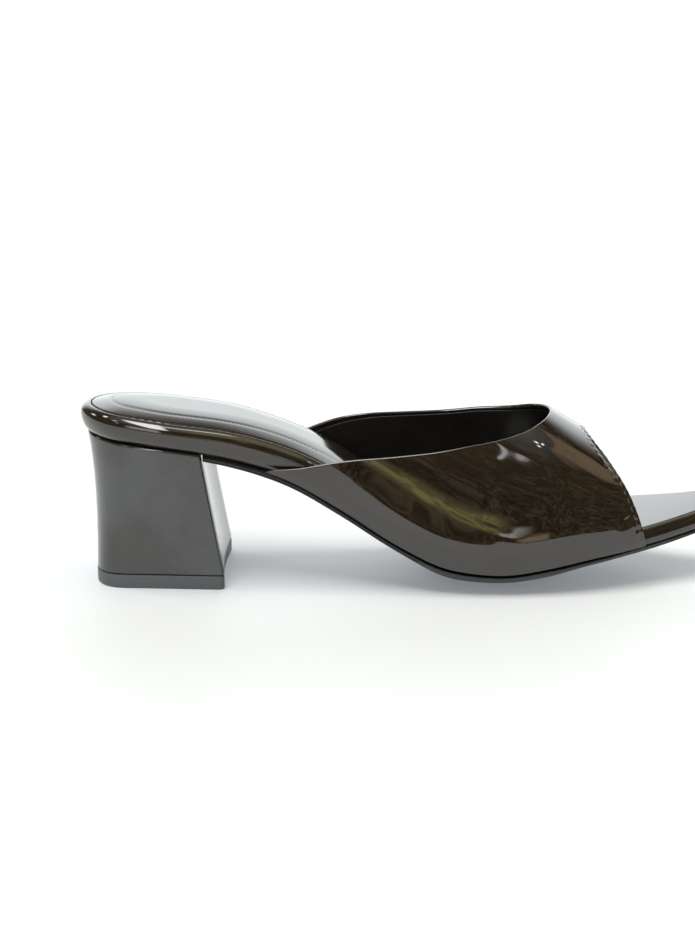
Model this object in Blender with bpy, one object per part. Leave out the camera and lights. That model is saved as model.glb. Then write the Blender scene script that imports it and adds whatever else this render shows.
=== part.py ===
"""Open-toe mule with a block heel, right shoe, as an assembly of separate solids.

Sizes are in millimetres, measured from the back of the heel (x, towards the toe), from the
shoe's long axis (y, lateral side negative) and from the floor (z). The meshes are scaled to
metres and centred over the origin when they are finished.
"""

import math

import bmesh
import bpy
from mathutils import Vector

MM = 0.001
LATERAL = -1
MEDIAL = 1
TINY = 1e-6

# Driving sizes of the whole shoe.
SHOE_LENGTH = 244.0
SEAM_GAP = 0.3
OUTSOLE_THICKNESS = 2.0
UPPER_WALL = 1.6
UPPER_FOOT_PROUD = 0.4
TIP_HEIGHT = 5.0

# How flat the sole is across its middle before it turns up to its edges.
CROWN_POWER = 2.6

# The sole and footbed, one row for each station from heel to toe: half widths of the footbed,
# height of its lower edge, drop of its underside in the middle, height of its rolled rim, and
# how far the outsole's edge stands out past the footbed.
SOLE_COLUMNS = ("x", "lateral", "medial", "edge_z", "crown", "rim", "sole_proud")
SOLE_ROWS = (
    (0.0, 0.0, 0.0, 52.4, 0.0, 9.8, -2.4),
    (15.0, 24.6, 24.6, 52.5, 0.0, 9.8, -2.4),
    (35.0, 29.0, 29.0, 51.4, 0.0, 9.8, -2.4),
    (55.0, 28.2, 28.0, 47.8, 0.3, 10.2, -1.8),
    (75.0, 26.6, 25.2, 40.6, 1.2, 11.6, 0.0),
    (95.0, 27.0, 24.6, 29.2, 2.0, 13.4, 0.7),
    (115.0, 30.0, 27.6, 16.9, 3.6, 12.0, 0.7),
    (135.0, 33.8, 32.6, 8.7, 6.1, 9.2, 0.7),
    (152.0, 35.4, 36.0, 7.4, 5.6, 7.4, 0.7),
    (168.0, 34.4, 36.6, 9.6, 6.2, 6.6, 0.7),
    (184.0, 31.0, 33.8, 12.7, 4.0, 6.2, 0.7),
    (203.0, 24.4, 26.0, 16.4, 2.8, 5.7, 0.5),
    (222.0, 16.2, 17.2, 20.9, 1.6, 5.1, -0.8),
    (236.0, 9.6, 10.4, 24.7, 0.6, 5.0, -1.0),
    (SHOE_LENGTH, 0.0, 0.0, 27.2, 0.0, 5.0, -1.0),
)

# The last above the sole, one row for each station under the upper: height and offset of its
# ridge, bulge of each side past the footbed, height of that bulge, fullness of the arch.
LAST_COLUMNS = ("x", "ridge_z", "ridge_y", "lateral_bulge", "medial_bulge", "bulge_z", "fullness")
LAST_ROWS = (
    (60.0, 108.0, 2.0, 3.0, 3.0, 11.0, 2.0),
    (80.0, 103.0, 2.0, 4.0, 4.2, 12.0, 2.0),
    (100.0, 96.0, 3.0, 5.0, 5.8, 13.0, 2.0),
    (120.0, 87.0, 4.0, 4.4, 5.2, 12.5, 2.05),
    (140.0, 76.5, 4.0, 3.4, 3.8, 11.0, 2.1),
    (155.0, 68.5, 4.0, 2.9, 3.0, 9.5, 2.15),
    (171.0, 60.5, 3.0, 2.8, 2.8, 8.0, 2.2),
    (184.0, 52.6, 2.0, 2.7, 2.7, 7.0, 2.2),
    (196.0, 46.2, 2.0, 2.6, 2.6, 6.2, 2.2),
    (206.0, 41.6, 1.0, 2.5, 2.5, 5.6, 2.2),
)

# The upper's two long edges over that last, one row for each share of the way from the sole
# (0) up to the ridge (1): where the collar and the toe opening cut it on each side.
EDGE_COLUMNS = ("share", "collar_lateral", "collar_medial", "toe_lateral", "toe_medial")
EDGE_ROWS = (
    (0.0, 67.0, 67.0, 203.5, 203.5),
    (0.1, 80.0, 77.5, 202.0, 202.0),
    (0.2, 91.0, 85.5, 200.3, 200.3),
    (0.3, 103.5, 94.0, 198.5, 198.5),
    (0.4, 118.5, 105.5, 196.6, 196.6),
    (0.5, 135.0, 122.0, 194.4, 194.4),
    (0.6, 152.5, 142.5, 192.0, 192.0),
    (0.7, 163.0, 160.0, 189.7, 189.7),
    (0.85, 169.2, 169.2, 186.2, 186.2),
    (1.0, 171.0, 171.0, 184.3, 184.3),
)

# The footbed's rim as a section: offset outwards from the plan, share of the rim's height and
# further height in millimetres, from the underside out, over the roll and down to the recess.
RIM_COLUMNS = ("offset", "share", "rise")
RIM_ROWS = (
    (-2.8, 0.0, 0.0),
    (-1.9, 0.09, 0.0),
    (-0.8, 0.28, 0.0),
    (0.0, 0.53, 0.0),
    (-0.4, 0.74, 0.0),
    (-1.3, 0.90, 0.0),
    (-2.7, 1.0, 0.0),
    (-3.9, 1.0, -0.5),
    (-4.3, 1.0, -1.1),
    (-4.4, 1.0, -2.4),
)
FOOTBED_FOOT_INSET = -RIM_ROWS[0][0]
RECESS_DEPTH = -RIM_ROWS[-1][2]

# The insole that fills the footbed's recess.
INSOLE_SETBACK = 4.8
INSOLE_LOW = 0.6
INSOLE_DISH = 1.0
INSOLE_ROUND = 0.6

# The heel in plan, for its floor end and its seat end: half width at the breast and further
# back, reach of the rounded back, squareness of its corners, and where breast and back lie.
HEEL_COLUMNS = ("breast_half", "back_half", "round_reach", "squareness", "breast_x", "back_x")
HEEL_FLOOR = (27.6, 25.6, 15.0, 3.2, 52.8, 5.4)
HEEL_SEAT = (26.8, 26.6, 30.0, 2.1, 44.8, 2.6)
HEEL_BACK_POWER = 3.0
HEEL_BREAST_HOLLOW = 1.2
HEEL_CORNER = 1.2
HEEL_SHOULDER = 0.9
HEEL_MIDDLE_X = 26.0
BREAST_CLEARANCE = 0.8

# How finely each solid is cut into faces.
SOLE_STATIONS = 46
CAP_COLUMNS = 8
OUTSOLE_COLUMNS = 10
UPPER_STATIONS = 20
UPPER_SHARES = (
    0.0, 0.05, 0.11, 0.18, 0.26, 0.35, 0.44, 0.52, 0.59, 0.65, 0.71, 0.77, 0.83, 0.89, 0.95, 1.0,
)
SECTION_SAMPLES = 40
HEEL_LEVELS = 9
HEEL_BACK_POINTS = 12
HEEL_SIDE_POINTS = 4
HEEL_BREAST_POINTS = 6
HEEL_CORNER_TURNS = (30.0, 60.0)
SHARP_ANGLE = 35.0

# Base colour and roughness of each finish.
FINISHES = {
    "brown_patent": ((0.030, 0.021, 0.014, 1.0), 0.08),
    "sole_rubber": ((0.045, 0.047, 0.050, 1.0), 0.45),
    "tip_rubber": ((0.085, 0.090, 0.097, 1.0), 0.40),
}


def column_of(columns, rows, name):
    """One named column of a table."""
    place = columns.index(name)
    return [row[place] for row in rows]


def end_slope(near, far, near_step, far_step):
    """Slope at the end of a curve, from the slopes of its last two stretches."""
    slope = ((2 * near_step + far_step) * near - near_step * far) / (near_step + far_step)
    if slope * near <= 0:
        return 0.0
    return math.copysign(min(abs(slope), 3 * abs(near)), near)


def smooth_through(knots, values):
    """A function through the given points that never swings past them."""
    steps = [b - a for a, b in zip(knots, knots[1:])]
    slopes = [(b - a) / step for a, b, step in zip(values, values[1:], steps)]
    tangents = [end_slope(slopes[0], slopes[1], steps[0], steps[1])]
    for i in range(1, len(slopes)):
        before, after = slopes[i - 1], slopes[i]
        if before * after <= 0:
            tangents.append(0.0)
            continue
        weight_before = 2 * steps[i] + steps[i - 1]
        weight_after = steps[i] + 2 * steps[i - 1]
        total = weight_before + weight_after
        tangents.append(total / (weight_before / before + weight_after / after))
    tangents.append(end_slope(slopes[-1], slopes[-2], steps[-1], steps[-2]))

    def value_at(x):
        x = min(max(x, knots[0]), knots[-1])
        i = max(k for k in range(len(steps)) if knots[k] <= x)
        t = (x - knots[i]) / steps[i]
        rise = values[i + 1] - values[i]
        bend_in = tangents[i] * steps[i] - rise
        bend_out = rise - tangents[i + 1] * steps[i]
        return values[i] + t * rise + t * (1 - t) * ((1 - t) * bend_in + t * bend_out)

    return value_at


def curves_of(columns, rows):
    """Each column after the first as a smooth function of the first."""
    knots = column_of(columns, rows, columns[0])
    return {name: smooth_through(knots, column_of(columns, rows, name)) for name in columns[1:]}


def squared_half_curve(side_name):
    """Squared half width along the shoe: it grows evenly from a round end, so the heel and toe
    come out round."""
    halves = column_of(SOLE_COLUMNS, SOLE_ROWS, side_name)
    return smooth_through(column_of(SOLE_COLUMNS, SOLE_ROWS, "x"), [half * half for half in halves])


SOLE = curves_of(SOLE_COLUMNS, SOLE_ROWS)
LAST = curves_of(LAST_COLUMNS, LAST_ROWS)
EDGE = curves_of(EDGE_COLUMNS, EDGE_ROWS)
SIDE_NAME = {LATERAL: "lateral", MEDIAL: "medial"}
SQUARED_HALF = {side: squared_half_curve(name) for side, name in SIDE_NAME.items()}


def half_width(x, side):
    """Half width of the footbed on one side."""
    return math.sqrt(max(SQUARED_HALF[side](x), 0.0))


def side_share(x, y):
    """How far out a point lies, from the long axis (0) to the footbed's edge (1)."""
    side = LATERAL if y < 0 else MEDIAL
    return min(abs(y) / max(half_width(x, side), TINY), 1.0)


def underside_z(x, y):
    """Height of the footbed's underside: the middle hangs below the edge by the crown."""
    return SOLE["edge_z"](x) - SOLE["crown"](x) * (1 - side_share(x, y) ** CROWN_POWER)


def rim_top_z(x):
    """Height of the roll of the footbed's rim."""
    return SOLE["edge_z"](x) + SOLE["rim"](x)


def insole_top_z(x, y):
    """Height of the insole, which is dished between the rims."""
    return rim_top_z(x) - INSOLE_LOW - INSOLE_DISH * (1 - side_share(x, y) ** 3)


def plan_outline():
    """The footbed's plan as points and outward normals, from the heel along the lateral side
    to the toe and back along the medial side."""
    turns = [math.pi * j / SOLE_STATIONS for j in range(SOLE_STATIONS + 1)]
    xs = [SHOE_LENGTH * (1 - math.cos(turn)) / 2 for turn in turns]
    points = [Vector((x, -half_width(x, LATERAL))) for x in xs]
    points += [Vector((x, half_width(x, MEDIAL))) for x in reversed(xs[1:-1])]
    normals = []
    for i in range(len(points)):
        along = points[(i + 1) % len(points)] - points[i - 1]
        normals.append(Vector((along.y, -along.x)).normalized())
    return list(zip(points, normals))


def plan_ring(bm, offset, height):
    """A closed ring of vertices round the plan, moved outwards by offset."""
    moved = [point + normal * offset for point, normal in plan_outline()]
    return [bm.verts.new((p.x, p.y, height(p.x, p.y))) for p in moved]


def skin(bm, rows, closed):
    """Faces between neighbouring rows of vertices, joined round where the rows are closed."""
    for low, high in zip(rows, rows[1:]):
        count = len(low)
        for i in range(count if closed else count - 1):
            j = (i + 1) % count
            bm.faces.new((low[i], low[j], high[j], high[i]))


def fan(bm, row, tip):
    """Triangles from a row of vertices to one point."""
    for a, b in zip(row, row[1:]):
        bm.faces.new((a, b, tip))


def cap_plan_ring(bm, ring, height):
    """Closes a ring round the plan with cross rows that follow a height."""
    half = len(ring) // 2
    rows = []
    for j in range(1, half):
        start, end = ring[j], ring[-j]
        row = [start]
        for k in range(1, CAP_COLUMNS):
            x, y, _ = start.co.lerp(end.co, k / CAP_COLUMNS)
            row.append(bm.verts.new((x, y, height(x, y))))
        rows.append(row + [end])
    fan(bm, rows[0], ring[0])
    skin(bm, rows, closed=False)
    fan(bm, rows[-1], ring[half])


def finish_node(bm, name, material):
    """Turns a mesh in millimetres into a named object in metres."""
    bmesh.ops.recalc_face_normals(bm, faces=bm.faces)
    bmesh.ops.scale(bm, vec=(MM, MM, MM), verts=bm.verts)
    mesh = bpy.data.meshes.new(name)
    bm.to_mesh(mesh)
    bm.free()
    mesh.shade_smooth()
    mesh.set_sharp_from_angle(angle=math.radians(SHARP_ANGLE))
    mesh.materials.append(material)
    node = bpy.data.objects.new(name, mesh)
    bpy.context.scene.collection.objects.link(node)
    return node


def make_footbed(material):
    """The wrapped footbed with its padded, rolled rim and a recess for the insole."""
    bm = bmesh.new()
    rings = []
    for offset, share, rise in RIM_ROWS:
        def height(x, y, share=share, rise=rise):
            return SOLE["edge_z"](x) + share * SOLE["rim"](x) + rise
        rings.append(plan_ring(bm, offset, height))
    skin(bm, rings, closed=True)

    def foot(x, y):
        return underside_z(x, y + math.copysign(FOOTBED_FOOT_INSET, y))

    def recess(x, y):
        return insole_top_z(x, y) + INSOLE_LOW - RECESS_DEPTH

    cap_plan_ring(bm, rings[0], foot)
    cap_plan_ring(bm, rings[-1], recess)
    return finish_node(bm, "footbed", material)


def make_insole(material):
    """The insole that lies in the footbed's recess, from heel to toe."""
    bm = bmesh.new()
    thickness = RECESS_DEPTH - INSOLE_LOW - SEAM_GAP
    profile = (
        (-INSOLE_SETBACK, -INSOLE_LOW - thickness),
        (-INSOLE_SETBACK, -INSOLE_LOW - INSOLE_ROUND),
        (-INSOLE_SETBACK - INSOLE_ROUND, -INSOLE_LOW),
    )
    rings = []
    for offset, rise in profile:
        rings.append(plan_ring(bm, offset, lambda x, y, rise=rise: rim_top_z(x) + rise))
    skin(bm, rings, closed=True)
    cap_plan_ring(bm, rings[0], lambda x, y: insole_top_z(x, y) - thickness)
    cap_plan_ring(bm, rings[-1], insole_top_z)
    return finish_node(bm, "insole", material)


def outsole_edges():
    """The outsole's plan as its lateral and medial edges, from the heel breast to the toe tip."""
    start = HEEL_SEAT[HEEL_COLUMNS.index("breast_x")] + BREAST_CLEARANCE
    moved = [point + normal * SOLE["sole_proud"](point.x) for point, normal in plan_outline()]
    tip = moved[SOLE_STATIONS]
    edges = []
    for side, run in ((LATERAL, moved[:SOLE_STATIONS]), (MEDIAL, moved[:SOLE_STATIONS:-1])):
        first = Vector((start, side * (half_width(start, side) + SOLE["sole_proud"](start))))
        edges.append([first] + [p for p in run if p.x > start + HEEL_CORNER])
    return edges[0], edges[1], tip


def outsole_surface(bm, height):
    """One face of the outsole: its rows of vertices and the vertex at the toe tip."""
    lateral, medial, tip = outsole_edges()
    rows = []
    for j, (a, b) in enumerate(zip(lateral, medial)):
        row = []
        for k in range(OUTSOLE_COLUMNS + 1):
            share = k / OUTSOLE_COLUMNS
            x, y = a.lerp(b, share)
            if j == 0:
                x -= breast_hollow(2 * share - 1)
            row.append(bm.verts.new((x, y, height(x, y))))
        rows.append(row)
    point = bm.verts.new((tip.x, tip.y, height(tip.x, tip.y)))
    skin(bm, rows, closed=False)
    fan(bm, rows[-1], point)
    return rows, point


def make_outsole(material):
    """The thin outsole from the heel breast to the toe, flat on the floor under the ball."""
    bm = bmesh.new()

    def top(x, y):
        return underside_z(x, y) - SEAM_GAP

    def bottom(x, y):
        return max(top(x, y) - OUTSOLE_THICKNESS, 0.0)

    rims = []
    backs = []
    for height in (top, bottom):
        rows, point = outsole_surface(bm, height)
        rims.append([row[0] for row in rows] + [point] + [row[-1] for row in reversed(rows)])
        backs.append(rows[0])
    skin(bm, rims, closed=False)
    skin(bm, backs, closed=False)
    return finish_node(bm, "outsole", material)


def breast_hollow(share):
    """How far the heel's breast is hollowed, from its middle (0) to its corners (1)."""
    return HEEL_BREAST_HOLLOW * (1 - share * share)


def heel_side(plan):
    """One side of the heel's plan, from the middle of its back to the corner of its breast."""
    power = 2 / plan["squareness"]
    corner_x = plan["breast_x"] - HEEL_CORNER
    round_x = plan["back_x"] + plan["round_reach"]
    side = []
    for k in range(HEEL_BACK_POINTS):
        turn = math.pi / 2 * k / HEEL_BACK_POINTS
        x = round_x - plan["round_reach"] * math.cos(turn) ** power
        side.append(Vector((x, plan["back_half"] * math.sin(turn) ** power)))
    round_end = Vector((round_x, plan["back_half"]))
    corner = Vector((corner_x, plan["breast_half"]))
    side += [round_end.lerp(corner, k / HEEL_SIDE_POINTS) for k in range(HEEL_SIDE_POINTS + 1)]
    for turn in map(math.radians, HEEL_CORNER_TURNS):
        turned = Vector((math.sin(turn), math.cos(turn) - 1))
        side.append(corner + turned * HEEL_CORNER)
    return side


def heel_plan(level):
    """The heel's plan as a closed ring of points at a level from floor (0) to seat (1)."""
    plan = {}
    for name, floor, seat in zip(HEEL_COLUMNS, HEEL_FLOOR, HEEL_SEAT):
        share = level ** HEEL_BACK_POWER if name == "back_x" else level
        plan[name] = floor + share * (seat - floor)
    side = heel_side(plan)
    flat_half = plan["breast_half"] - HEEL_CORNER
    breast = []
    for k in range(HEEL_BREAST_POINTS + 1):
        share = 1 - 2 * k / HEEL_BREAST_POINTS
        breast.append(Vector((plan["breast_x"] - breast_hollow(share), flat_half * share)))
    other_side = [Vector((p.x, -p.y)) for p in reversed(side[1:])]
    return side + breast + other_side


def heel_ring(bm, level, height, inset=0.0):
    """One level of the heel as a ring of vertices, drawn in by an inset."""
    middle = Vector((HEEL_MIDDLE_X, 0.0))
    ring = []
    for point in heel_plan(level):
        inward = (middle - point).normalized()
        x, y = point + inward * inset
        ring.append(bm.verts.new((x, y, height(x))))
    return ring


def close_heel_ring(bm, ring, height):
    """Closes a heel ring with a fan round a point in its middle."""
    centre = bm.verts.new((HEEL_MIDDLE_X, 0.0, height(HEEL_MIDDLE_X)))
    fan(bm, ring + [ring[0]], centre)


def make_heel(material):
    """The covered block heel, from the tip up to the footbed's seat, with a rounded shoulder."""
    bm = bmesh.new()
    foot = TIP_HEIGHT + SEAM_GAP

    def seat(x):
        return SOLE["edge_z"](x) - SEAM_GAP

    rings = []
    for i in range(HEEL_LEVELS + 1):
        level = i / HEEL_LEVELS

        def height(x, level=level):
            return foot + level * (seat(x) - HEEL_SHOULDER - foot)

        rings.append(heel_ring(bm, level, height))
    rings.append(heel_ring(bm, 1.0, seat, inset=HEEL_SHOULDER))
    skin(bm, rings, closed=True)
    close_heel_ring(bm, rings[0], lambda x: foot)
    close_heel_ring(bm, rings[-1], seat)
    return finish_node(bm, "heel", material)


def make_heel_tip(material):
    """The replaceable tip that the heel stands on."""
    bm = bmesh.new()
    base = bm.faces.new(heel_ring(bm, 0.0, lambda x: 0.0))
    grown = bmesh.ops.extrude_face_region(bm, geom=[base], use_keep_orig=True)
    lifted = [item for item in grown["geom"] if isinstance(item, bmesh.types.BMVert)]
    bmesh.ops.translate(bm, vec=(0.0, 0.0, TIP_HEIGHT), verts=lifted)
    return finish_node(bm, "heel_tip", material)


def half_section(x, side):
    """Points up one side of the last at a station, from the sole's edge to the ridge."""
    foot = half_width(x, side) + UPPER_FOOT_PROUD
    widest = half_width(x, side) + LAST[SIDE_NAME[side] + "_bulge"](x)
    edge_z, bulge_z = SOLE["edge_z"](x), LAST["bulge_z"](x)
    ridge = Vector((LAST["ridge_y"](x), LAST["ridge_z"](x)))
    waist = Vector((side * widest, edge_z + bulge_z))
    power = 2 / LAST["fullness"](x)
    points = []
    for k in range(SECTION_SAMPLES):
        rise = k / SECTION_SAMPLES
        tuck = (widest - foot) * (1 - rise) ** 2
        points.append(Vector((side * (widest - tuck), edge_z + rise * bulge_z)))
    for k in range(SECTION_SAMPLES + 1):
        turn = math.pi / 2 * k / SECTION_SAMPLES
        out = max(math.cos(turn), 0.0) ** power
        up = math.sin(turn) ** power
        points.append(Vector((ridge.x + (waist.x - ridge.x) * out, waist.y + (ridge.y - waist.y) * up)))
    return points


def last_point(x, share, side):
    """The point of the last's surface at a share of the way from the sole to the ridge."""
    section = half_section(x, side)
    left = share * sum((b - a).length for a, b in zip(section, section[1:]))
    for a, b in zip(section, section[1:]):
        length = (b - a).length
        if left <= length:
            y, z = a.lerp(b, left / max(length, TINY))
            return Vector((x, y, z))
        left -= length
    return Vector((x, section[-1].x, section[-1].y))


def upper_row(share, side):
    """A line along the upper from its collar to its toe edge, at one height on one side."""
    collar = EDGE["collar_" + SIDE_NAME[side]](share)
    toe = EDGE["toe_" + SIDE_NAME[side]](share)
    xs = [collar + (toe - collar) * i / UPPER_STATIONS for i in range(UPPER_STATIONS + 1)]
    return [last_point(x, share, side) for x in xs]


def make_upper(material):
    """The vamp: one wall over the last, open at the collar, at the toe and underneath."""
    bm = bmesh.new()
    rows = [upper_row(share, LATERAL) for share in UPPER_SHARES]
    rows += [upper_row(share, MEDIAL) for share in reversed(UPPER_SHARES[:-1])]
    skin(bm, [[bm.verts.new(point) for point in row] for row in rows], closed=False)
    node = finish_node(bm, "upper", material)
    wall = node.modifiers.new("wall", "SOLIDIFY")
    wall.thickness = UPPER_WALL * MM
    wall.offset = -1.0
    wall.use_even_offset = True
    return node


def make_material(name):
    """A plain finish with the colour and gloss of the real piece."""
    colour, roughness = FINISHES[name]
    material = bpy.data.materials.new(name)
    material.use_nodes = True
    shader = material.node_tree.nodes["Principled BSDF"]
    shader.inputs["Base Color"].default_value = colour
    shader.inputs["Roughness"].default_value = roughness
    return material


def centre_on_origin(nodes):
    """Moves all meshes so that the shoe stands centred over the origin."""
    bpy.context.view_layer.update()
    corners = [Vector(corner) for node in nodes for corner in node.bound_box]
    middle = Vector((0.0, 0.0, 0.0))
    for axis in (0, 1):
        reach = [corner[axis] for corner in corners]
        middle[axis] = (min(reach) + max(reach)) / 2
    for node in nodes:
        for vertex in node.data.vertices:
            vertex.co -= middle


def main():
    """Builds the shoe in an empty scene."""
    for old in list(bpy.data.objects):
        bpy.data.objects.remove(old)
    finishes = {name: make_material(name) for name in FINISHES}
    centre_on_origin([
        make_outsole(finishes["sole_rubber"]),
        make_heel_tip(finishes["tip_rubber"]),
        make_heel(finishes["brown_patent"]),
        make_footbed(finishes["brown_patent"]),
        make_insole(finishes["brown_patent"]),
        make_upper(finishes["brown_patent"]),
    ])


main()
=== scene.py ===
"""Looks of an open-toe mule with a block heel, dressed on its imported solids.

Shapes are worked out in millimetres from the back of the heel (x, towards the toe), from the
shoe's long axis (y, lateral side negative) and from the floor (z). They are carried into the
frame, in metres, when a piece leaves the bench.
"""

import logging
import math
from dataclasses import dataclass, field
from enum import Enum

import bmesh
import bpy
import numpy as np
from mathutils import Matrix, Vector


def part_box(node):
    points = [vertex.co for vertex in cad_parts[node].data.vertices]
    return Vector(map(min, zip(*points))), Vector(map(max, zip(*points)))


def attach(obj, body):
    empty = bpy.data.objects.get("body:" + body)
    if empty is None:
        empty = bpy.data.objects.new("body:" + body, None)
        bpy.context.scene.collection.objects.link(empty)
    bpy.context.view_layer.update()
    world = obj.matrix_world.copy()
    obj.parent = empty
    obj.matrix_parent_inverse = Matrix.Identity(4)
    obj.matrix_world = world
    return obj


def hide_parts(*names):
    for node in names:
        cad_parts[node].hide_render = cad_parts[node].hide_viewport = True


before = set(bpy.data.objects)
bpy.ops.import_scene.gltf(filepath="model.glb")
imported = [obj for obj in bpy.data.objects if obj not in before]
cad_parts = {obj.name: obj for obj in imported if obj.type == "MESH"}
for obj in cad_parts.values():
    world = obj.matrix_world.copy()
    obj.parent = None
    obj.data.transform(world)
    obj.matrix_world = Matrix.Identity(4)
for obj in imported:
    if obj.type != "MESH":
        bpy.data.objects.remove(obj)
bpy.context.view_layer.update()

LOG = logging.getLogger("mule")
MM = 0.001
BODY = "root"
MERGE_DISTANCE = 1e-4


class Slot(Enum):
    """The record's material slots."""

    UPPER = "upper_patent"
    FOOTBED = "footbed_patent"
    HEEL = "heel_patent"
    OUTSOLE = "outsole_rubber"
    TIP = "tip_rubber"
    LINING = "lining"
    THREAD = "thread"


class Side(Enum):
    """A side of the shoe, with the sign of its y."""

    LATERAL = -1
    MEDIAL = 1


def soften(values: np.ndarray, sigma: float) -> np.ndarray:
    """Rounds off the small breaks of a curve without moving its ends.

    Args:
        values: Evenly spaced values of the curve.
        sigma: Reach of the rounding, in samples.

    Returns:
        As many values, softened.
    """
    reach = min(int(3 * sigma), len(values) - 2)
    if reach < 1:
        return values
    weights = np.exp(-0.5 * (np.arange(-reach, reach + 1) / sigma) ** 2)
    head = 2 * values[0] - values[reach:0:-1]
    tail = 2 * values[-1] - values[-2:-reach - 2:-1]
    return np.convolve(np.concatenate((head, values, tail)), weights / weights.sum(), "valid")


def end_slope(near: float, far: float, near_step: float, far_step: float) -> float:
    """Slope at the end of a curve through knots.

    Args:
        near: Slope of the last stretch.
        far: Slope of the stretch before it.
        near_step: Length of the last stretch.
        far_step: Length of the stretch before it.

    Returns:
        The slope, which never makes the curve swing past its knots.
    """
    slope = ((2 * near_step + far_step) * near - near_step * far) / (near_step + far_step)
    if slope * near <= 0:
        return 0.0
    return math.copysign(min(abs(slope), 3 * abs(near)), near)


def through_knots(knots: np.ndarray, values: np.ndarray, x: np.ndarray) -> np.ndarray:
    """A curve through knots that never swings past them.

    Args:
        knots: Places of the knots, rising.
        values: Values at the knots.
        x: Places to read, between the first and the last knot.

    Returns:
        The curve's values at x.
    """
    steps = np.diff(knots)
    slopes = np.diff(values) / steps
    before, after = slopes[:-1], slopes[1:]
    weight_before = 2 * steps[1:] + steps[:-1]
    weight_after = steps[1:] + 2 * steps[:-1]
    turns = before * after <= 0
    lean = weight_before / np.where(turns, 1, before) + weight_after / np.where(turns, 1, after)
    inner = np.where(turns, 0, (weight_before + weight_after) / np.where(turns, 1, lean))
    first = end_slope(slopes[0], slopes[1], steps[0], steps[1])
    last = end_slope(slopes[-1], slopes[-2], steps[-1], steps[-2])
    tangents = np.concatenate(([first], inner, [last]))
    i = np.clip(np.searchsorted(knots, x, side="right") - 1, 0, len(steps) - 1)
    t = (x - knots[i]) / steps[i]
    rise = values[i + 1] - values[i]
    bend_in = tangents[i] * steps[i] - rise
    bend_out = rise - tangents[i + 1] * steps[i]
    return values[i] + t * rise + t * (1 - t) * ((1 - t) * bend_in + t * bend_out)


def smooth_step(low: float, high: float, x: np.ndarray) -> np.ndarray:
    """Rises softly from 0 at low to 1 at high."""
    t = np.clip((x - low) / (high - low), 0, 1)
    return t * t * (3 - 2 * t)


def unit(vectors: np.ndarray) -> np.ndarray:
    """The same vectors at a length of 1."""
    return vectors / np.maximum(np.linalg.norm(vectors, axis=-1, keepdims=True), 1e-9)


def run_lengths(points: np.ndarray) -> np.ndarray:
    """Distances along rows of points, each from its row's first point."""
    steps = np.linalg.norm(np.diff(points, axis=-2), axis=-1)
    return np.concatenate((np.zeros_like(steps[..., :1]), np.cumsum(steps, axis=-1)), axis=-1)


def read_row(points: np.ndarray, along: np.ndarray, places: np.ndarray | float) -> np.ndarray:
    """Reads a row of points between its points.

    Args:
        points: Points (point, size) of the row.
        along: Where each point lies along the row, rising.
        places: Where to read.

    Returns:
        What is read, with a last axis of that size.
    """
    return np.stack([np.interp(places, along, column) for column in points.T], axis=-1)


def quarter_round(steps: int) -> list[tuple[float, float]]:
    """How far a quarter circle of radius 1 has come and has yet to go, step by step."""
    turns = np.linspace(0, math.pi / 2, steps)
    return [(1 - math.cos(turn), 1 - math.sin(turn)) for turn in turns]


def leaning(ahead: "np.ndarray | Value", up: "np.ndarray | Value", lean: float) -> tuple:
    """Two measures taken along axes that lean by an angle in degrees."""
    cos, sin = math.cos(math.radians(lean)), math.sin(math.radians(lean))
    return ahead * cos + up * sin, up * cos - ahead * sin


class Curve:
    """A function through a few knots, softened so that reflections run over it unbroken."""

    SAMPLES = 1400

    def __init__(self, knots: np.ndarray, values: np.ndarray, softness: float) -> None:
        """Samples the curve once.

        Args:
            knots: Places of the knots.
            values: Values at the knots.
            softness: Reach of the softening, in the knots' own unit.
        """
        span = knots[-1] - knots[0]
        self.grid = np.linspace(knots[0], knots[-1], self.SAMPLES + 1)
        sampled = through_knots(knots, values, self.grid)
        self.values = soften(sampled, softness * self.SAMPLES / span)
        self.slopes = np.gradient(self.values, self.grid)

    def __call__(self, x: np.ndarray | float) -> np.ndarray:
        """The curve's value."""
        return np.interp(x, self.grid, self.values)

    def slope(self, x: np.ndarray | float) -> np.ndarray:
        """The curve's slope."""
        return np.interp(x, self.grid, self.slopes)


@dataclass(frozen=True)
class Table:
    """A short table of sizes whose first column is where each row holds."""

    columns: tuple[str, ...]
    rows: tuple[tuple[float, ...], ...]

    def column(self, name: str) -> np.ndarray:
        """One named column."""
        return np.array([row[self.columns.index(name)] for row in self.rows], float)

    def curve(self, name: str, softness: float, power: int = 1) -> Curve:
        """One column, or a power of it, as a smooth function of the first column."""
        return Curve(self.column(self.columns[0]), self.column(name) ** power, softness)


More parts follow.
